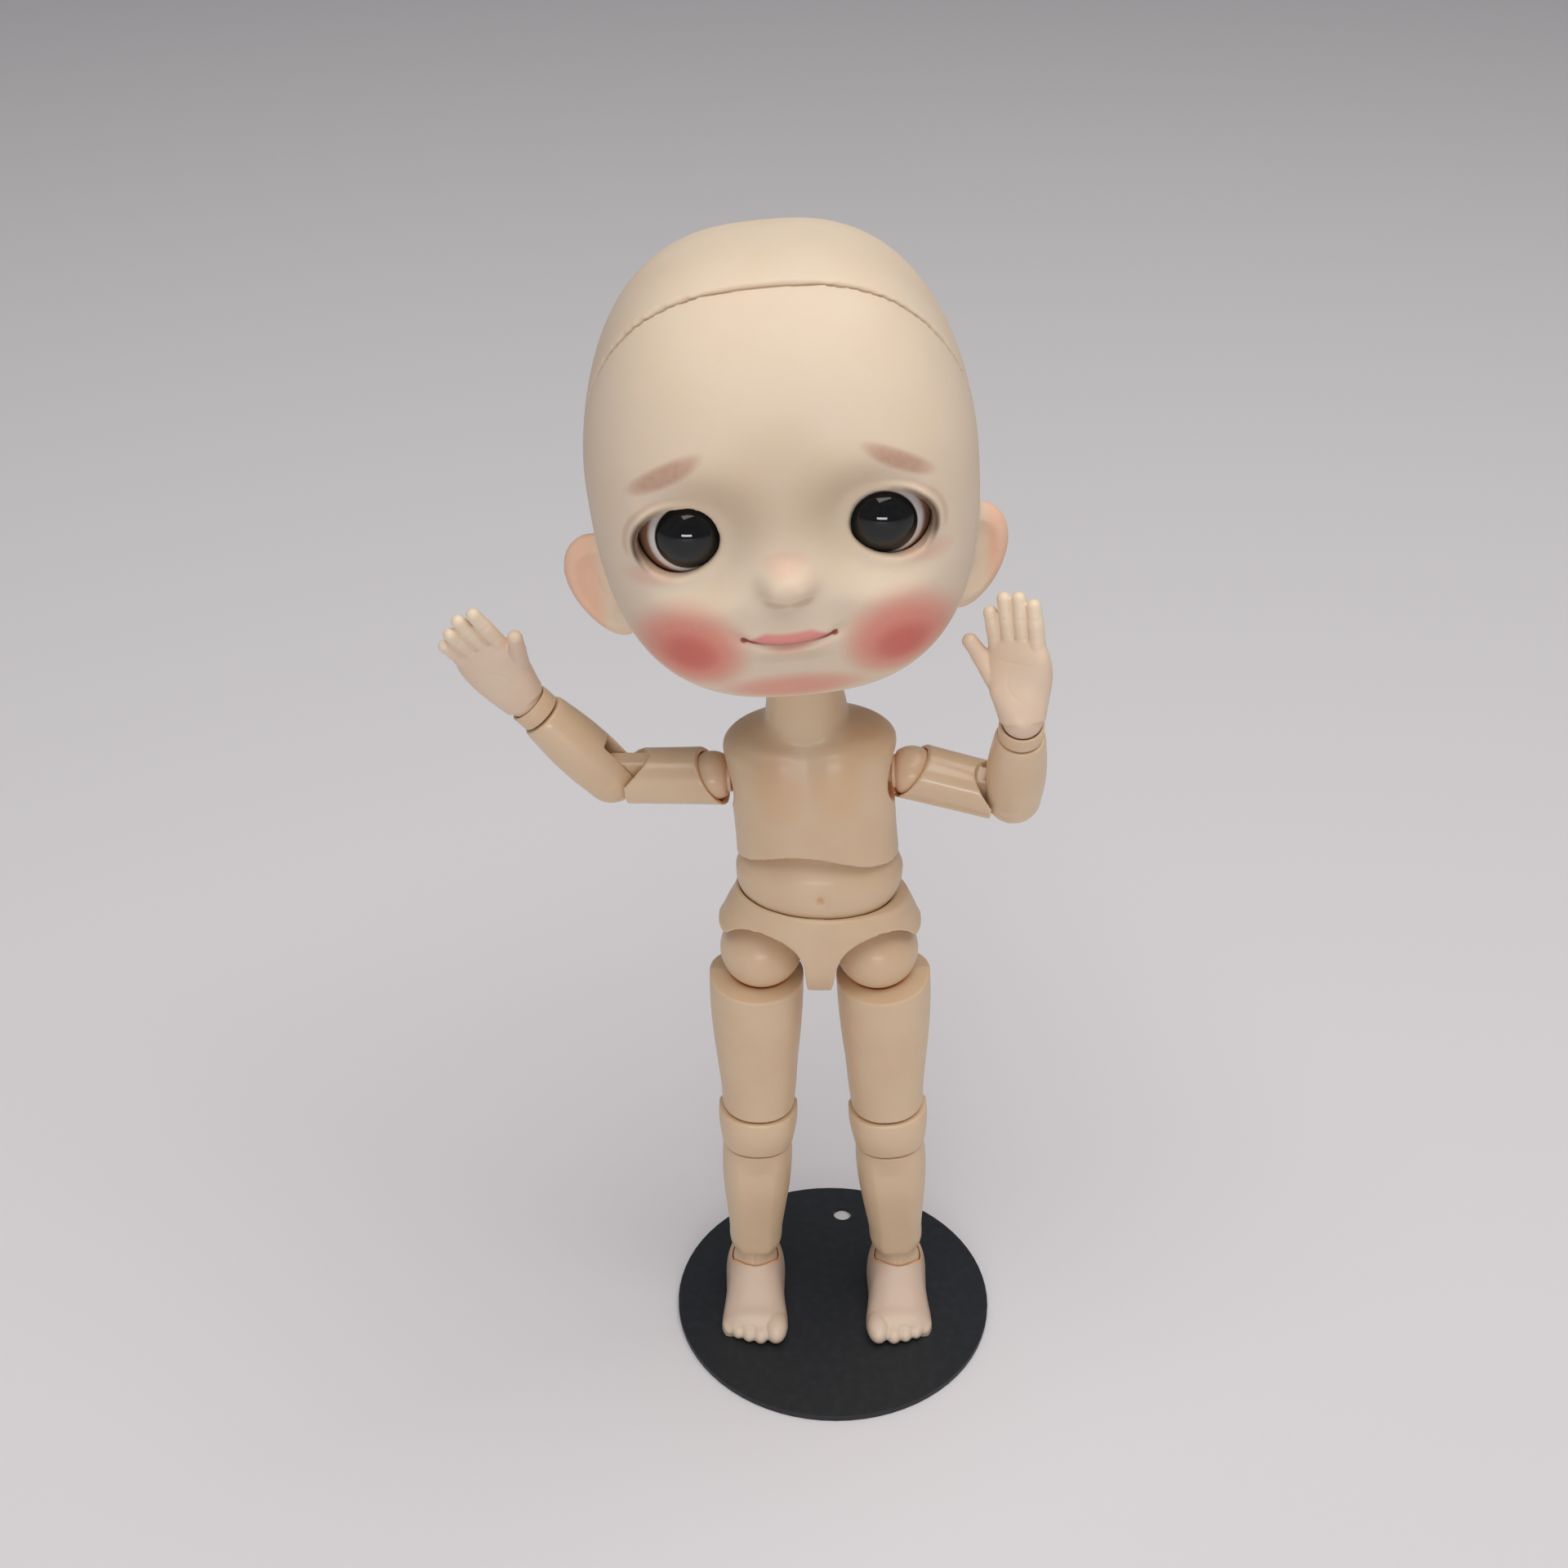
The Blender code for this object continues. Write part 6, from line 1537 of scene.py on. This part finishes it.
def make_knee(name):
    knee = limb(name, KNEE_TOP + KNEE_RAISED, KNEE_BOTTOM, KNEE_HALF_WIDTH, KNEE_HALF_DEPTH, KNEE_SHARES, 2.3)
    past = KNEE_HALF_WIDTH + OVERRUN
    carve(knee, notch(KNEE_PIN_BACK, KNEE_TOP + KNEE_RAISED + MERGE, -KNEE_TOP_NOTCH, past))
    carve(knee, notch(KNEE_PIN_BACK, KNEE_BOTTOM - MERGE, KNEE_NOTCH, past))
    middle = (KNEE_TOP + KNEE_BOTTOM) / 2
    carve(knee, hinge_tongue(UPPER_PIN, middle), "UNION")
    carve(knee, hinge_tongue(LOWER_PIN, middle), "UNION")
    carve(knee, knee_bore(UPPER_PIN))
    carve(knee, knee_bore(LOWER_PIN))
    return melt(knee, LEG_GRAIN)


SHIN_END_RAISED = 0.8
SHIN_FACET = 0.84
SHIN_FLATTENING = 0.75


def faceted(places):
    """Flattens the shin's front into one long facet with soft edges."""
    along = (places[:, 2] - SHIN_TOP) / (SHIN_BOTTOM - SHIN_TOP)
    face = -SHIN_HALF_DEPTH * SHIN_FACET * smooth_rows(SHIN_SHARES, along)[:, 1]
    beyond = np.clip(face - places[:, 1], 0, None)
    places[:, 1] += beyond * SHIN_FLATTENING * np.clip(along * 6, 0, 1)
    return places


def make_shin(name):
    shin = limb(
        name, SHIN_TOP, SHIN_BOTTOM + SHIN_END_RAISED, SHIN_HALF_WIDTH, SHIN_HALF_DEPTH, SHIN_SHARES, 2.1
    )
    moved(shin, faceted)
    past = SHIN_HALF_WIDTH + OVERRUN
    carve(shin, notch(KNEE_PIN_BACK - KNEE_NOTCH_LEAD, SHIN_TOP + MERGE, -LIMB_NOTCH, past))
    carve(shin, hinge_slot(LOWER_PIN, SHIN_TOP + OVERRUN, past))
    carve(shin, knee_bore(LOWER_PIN))
    deep = SHIN_BOTTOM + ANKLE_STEM_DEPTH + SEAM_GAP
    carve(shin, rod("bore", ANKLE_STEM_RADIUS + PIN_GAP, (0, 0, SHIN_BOTTOM - OVERRUN), (0, 0, deep)))
    return melt(shin, LEG_GRAIN)


for side, name in SIDES:
    place = side_axes[side]["leg"]
    look = resin(name + "_hip_resin", place, JOINT, JOINT_DEEP, 0.38, 0.12)
    settle(
        ball(name + "_hip_turned", HIP_BALL_RADIUS), place, name + "_hip_ball", "joint_skin", look,
        name + "_hip_ball"
    )
    seats = [((0, 0, 0), HIP_BALL_RADIUS + SEAT_GAP)]
    # The knee tongues' seats get the painted glow too
    for pin in (UPPER_PIN, LOWER_PIN):
        seats.append(((0, KNEE_PIN_BACK, pin), KNEE_TONGUE_RADIUS + SEAM_GAP))
    look = resin(name + "_leg_resin", place, BODY, BODY_DEEP, 0.40, 0.10, seats=seats)
    settle(make_thigh(name + "_thigh_cast", side), place, name + "_thigh", "body_skin", look, name + "_thigh")
    settle(make_knee(name + "_knee_cast"), place, name + "_knee", "body_skin", look, name + "_knee")
    settle(make_shin(name + "_shin_cast"), place, name + "_shin", "body_skin", look, name + "_shin")

# %% [markdown]
# ## Ankles and feet
#
# The ankle is a turned ball with a short neck, which turns in the shin. The foot is broad and flat,
# with a collar round the ankle, five round toes and a steel disc let into the sole.

# %% Ankles, feet and sole discs
FOOT_GRAIN = 0.10
FOOT_HALF_WIDTH = 4.1
FOOT_HEEL = 5.8
FOOT_FRONT = 9.7
FOOT_COLLAR = 5.9
FOOT_HEIGHT = 6.6
ANKLE_HEIGHT = 4.6
FOOT_SHARES = (
    (0.00, 0.30, 0.40), (0.03, 0.52, 0.62), (0.10, 0.76, 0.86), (0.22, 0.92, 1.02), (0.42, 0.93, 1.04),
    (0.56, 0.92, 0.90), (0.70, 0.97, 0.66), (0.84, 1.03, 0.47), (0.95, 1.00, 0.38), (1.00, 0.90, 0.30),
)
TOE_REACH = 11.6
TOE_LONG_SHARE = 1.75
TOE_TALL_SHARE = 0.98
TOE_RISE_SHARE = 0.75
BIG_TOE_RADIUS = 1.48
TOE_SHARES = (
    (0.66, 1.00, 1.00),
    (0.19, 0.78, 0.99),
    (-0.17, 0.74, 0.96),
    (-0.50, 0.70, 0.91),
    (-0.79, 0.66, 0.85),
)
SOLE_MAGNET_RADIUS = 2.0
SOLE_MAGNET_DEPTH = 1.0
SOLE_MAGNET_FORWARD = 5.6
MAGNET_GAP = 0.1
NAIL_DEPTH = 0.04


def make_ankle(name):
    """Turned: a ball, a neck and a stem into the shin, with a parting line on its front."""
    shoulder = SHIN_BOTTOM + SHIN_END_RAISED - SEAT_GAP - ANKLE
    top = SHIN_BOTTOM + ANKLE_STEM_DEPTH - ANKLE
    join_up = math.acos(ANKLE_NECK_RADIUS / ANKLE_BALL_RADIUS)
    profile = arc(ANKLE_BALL_RADIUS, 0, -math.pi / 2, join_up)
    profile += [(ANKLE_NECK_RADIUS, shoulder), (ANKLE_STEM_RADIUS, shoulder)]
    profile += [(ANKLE_STEM_RADIUS, top), (0, top)]
    return softened(turned(name, profile), TURNED_ROUND)


def make_foot(name, side, side_name):
    foot = limb(name, -FOOT_HEEL, FOOT_FRONT, FOOT_HALF_WIDTH, FOOT_HEIGHT, FOOT_SHARES, 2.4)
    transformed(foot, Matrix.Rotation(math.pi / 2, 4, "X"))
    toes = []
    for place, big, reach in TOE_SHARES:
        radius = BIG_TOE_RADIUS * big
        ahead = radius * TOE_LONG_SHARE - TOE_REACH * reach
        centre = (-side * FOOT_HALF_WIDTH * place, ahead, radius * TOE_RISE_SHARE)
        toes.append(ball("toe", radius, centre, (1, TOE_LONG_SHARE, TOE_TALL_SHARE)))
    melt(join(foot, *toes), FOOT_GRAIN, 12)
    wide, far = FOOT_HALF_WIDTH * 2, TOE_REACH + OVERRUN
    carve(foot, block("ground", (-wide, -far, -FOOT_HEIGHT * 2), (wide, far, 0)))
    carve(foot, block("collar", (-wide, -far, FOOT_COLLAR), (wide, far, FOOT_HEIGHT * 2)))
    carve(foot, ball("cup", ANKLE_BALL_RADIUS + SEAT_GAP, (0, 0, ANKLE_HEIGHT)))
    top = SOLE_MAGNET_DEPTH + MAGNET_GAP * 2
    low, high = (0, -SOLE_MAGNET_FORWARD, -OVERRUN), (0, -SOLE_MAGNET_FORWARD, top)
    carve(foot, rod("pocket", SOLE_MAGNET_RADIUS + MAGNET_GAP, low, high))
    ankle_neck = ANKLE_NECK_RADIUS + BALL_GAP
    cleared(
        foot, side_axes[side]["foot"], side_name + "_ankle_pitch",
        side_axes[side]["foot"] @ Matrix.Translation((0, 0, ANKLE_HEIGHT)),
        lambda: rod("neck", ankle_neck, (0, 0, 0), (0, 0, FOOT_HEIGHT)),
    )
    melt(foot, FOOT_GRAIN, 4)

    def nails_pressed(places):
        """Small flat nails on the toes."""
        x, y, z = places.T
        for place, big, reach in TOE_SHARES:
            radius = BIG_TOE_RADIUS * big
            across = x + side * FOOT_HALF_WIDTH * place
            tip = y + TOE_REACH * reach
            off = np.hypot(across / (radius * 0.55), (tip - radius * 0.85) / (radius * 0.6))
            nail = np.clip(1.2 - off, 0, 1)
            places[:, 2] -= NAIL_DEPTH * np.clip(nail * 2, 0, 1) * (z > radius)
        return places

    return moved(foot, nails_pressed)


def foot_tone(look, base):
    """The toes are paler than the instep."""
    toes = look.y.ramp(-7.0, -10.5)
    return (toes * 0.6).blend(base, TOE_TIP)


for side, name in SIDES:
    place = side_axes[side]["leg"] @ Matrix.Translation((0, 0, ANKLE))
    look = resin(name + "_ankle_resin", place, JOINT, JOINT_DEEP, 0.40, 0.10)
    line = look.x.size().ramp(0.10, 0.03) * look.y.ramp(0.0, -1.0)
    look.relief(1 - line, 0.05)
    settle(make_ankle(name + "_ankle_turned"), place, name + "_ankle", "joint_skin", look, name + "_ankle")
    place = side_axes[side]["foot"]
    seats = [((0, 0, ANKLE_HEIGHT), ANKLE_BALL_RADIUS + SEAT_GAP)]
    look = resin(name + "_foot_resin", place, FOOT, FOOT_DEEP, 0.46, 0.05, foot_tone, 0.005, seats)
    settle(
        make_foot(name + "_foot_cast", side, name), place, name + "_foot", "hand_skin", look, name + "_foot"
    )

# %% [markdown]
# ## Steel
#
# Pins and magnets are bright turned steel, brushed across their ends. They keep their plain solids,
# because a pin is just a pin.

# %% Steel for pins and magnets
STEEL = colour(0.58, 0.585, 0.60)
STEEL_DARK = colour(0.40, 0.40, 0.42)
steel_nodes = [name for name in frame["nodes"] if name.endswith(("_pin", "_magnet"))]
for name in steel_nodes:
    low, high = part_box(name)
    middle = Matrix.Translation((Vector(low) + Vector(high)) / 2 / MM)
    look = Finish(name + "_steel", middle, Metallic=1.0)
    brushed = look.here.node("ShaderNodeTexNoise", {"Vector": look.here, "Scale": 9.0, "Detail": 5.0})
    look.feed("Base Color", brushed.ramp(0.3, 0.7).blend(STEEL, STEEL_DARK))
    look.feed("Roughness", 0.24 + brushed * 0.22)
    look.relief(brushed, 0.01)
    node = frame["nodes"][name]
    node.data.materials.clear()
    node.data.materials.append(look.material)
print(len(steel_nodes), "steel pieces")

# %% [markdown]
# ## The studio
#
# The doll stands on a round black display plate on a pale seamless floor. The light is a broad soft
# ceiling light with a low window in front, whose reflection is the small glint in the eyes.

# %% Floor, plate, lights and camera
PLATE_RADIUS = 20.2
PLATE_THICKNESS = 0.8
PLATE_HOLE_RADIUS = 1.25
PLATE_AT = (11.2, -2.6)
PLATE_HOLE_AT = (12.8, 12.6)
FLOOR_HALF = 3000.0


def studio_look(name, roughness):
    return Finish(name, Matrix.Identity(4), Roughness=roughness)


floor_mesh = bmesh.new()
bmesh.ops.create_grid(floor_mesh, x_segments=8, y_segments=8, size=FLOOR_HALF)
floor = transformed(
    as_object("floor", floor_mesh), Matrix.Translation((0, 0, -PLATE_THICKNESS)), Matrix.Scale(MM, 4)
)
floor_look = studio_look("pale_floor", 0.8)
far = floor_look.y.ramp(-150.0, 520.0)
floor_look.feed("Base Color", far.blend(colour(0.79, 0.765, 0.79), colour(0.77, 0.745, 0.755)))
floor.data.materials.append(floor_look.material)

plate = rod("display_plate", PLATE_RADIUS, (*PLATE_AT, -PLATE_THICKNESS + 0.02), (*PLATE_AT, 0))
carve(plate, rod("hole", PLATE_HOLE_RADIUS, (*PLATE_HOLE_AT, -OVERRUN), (*PLATE_HOLE_AT, OVERRUN)))
softened(plate, 0.18)
transformed(plate, Matrix.Scale(MM, 4))
plate_look = studio_look("plate_paint", 0.5)
dust = noise_on(plate_look.here, 1.2, 5.0)
PLATE_PAINT = colour(0.008, 0.010, 0.014)
PLATE_DUST = colour(0.014, 0.017, 0.023)
plate_look.feed("Base Color", dust.ramp(0.4, 0.8).blend(PLATE_PAINT, PLATE_DUST))
plate_look.relief(dust, 0.02)
plate.data.materials.clear()
plate.data.materials.append(plate_look.material)
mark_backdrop(floor, plate)


def area_light(name, place, towards, width, height, watts, tint=(1, 1, 1)):
    """A soft panel that looks from place towards a point, in millimetres."""
    light = bpy.data.lights.new(name, "AREA")
    light.shape = "RECTANGLE"
    light.size, light.size_y = width * MM, height * MM
    light.energy = watts
    light.color = tint
    obj = bpy.data.objects.new(name, light)
    bpy.context.collection.objects.link(obj)
    way = Vector(towards) - Vector(place)
    turn = way.to_track_quat("-Z", "Y").to_matrix().to_4x4()
    obj.matrix_world = Matrix.Translation(Vector(place) * MM) @ turn


area_light("ceiling", (90, -170, 870), (0, 0, 60), 900, 700, 6.2, (1.0, 0.98, 0.95))
area_light("window", (-20, -900, 150), (0, 0, 100), 420, 80, 1.5, (0.96, 0.98, 1.0))
ROOM_LIGHT = 0.215
world = bpy.data.worlds.new("studio")
world.use_nodes = True
world.node_tree.nodes["Background"].inputs["Color"].default_value = colour(0.93, 0.95, 1.0)
world.node_tree.nodes["Background"].inputs["Strength"].default_value = ROOM_LIGHT
bpy.context.scene.world = world
bpy.context.scene.view_settings.view_transform = "Standard"

CAMERA_PLACE = (4.798, -201.211, 206.37)
CAMERA_TILT = math.radians(57.44)
camera = bpy.data.cameras.new("photo_camera")
camera.lens = 48.75
camera.sensor_width = 36
camera.clip_start = 10 * MM
camera_object = bpy.data.objects.new("photo_camera", camera)
bpy.context.collection.objects.link(camera_object)
camera_object.location = Vector(CAMERA_PLACE) * MM
camera_object.rotation_euler = (CAMERA_TILT, 0, 0)
bpy.context.scene.camera = camera_object
print("stage set")

# %% [markdown]
# ## Size and triangles
#
# The box round the shown doll is measured, and its triangles are counted.

# %% Measure the box and count the triangles
low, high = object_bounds()
print("triangles in all", sum(triangles.values()))
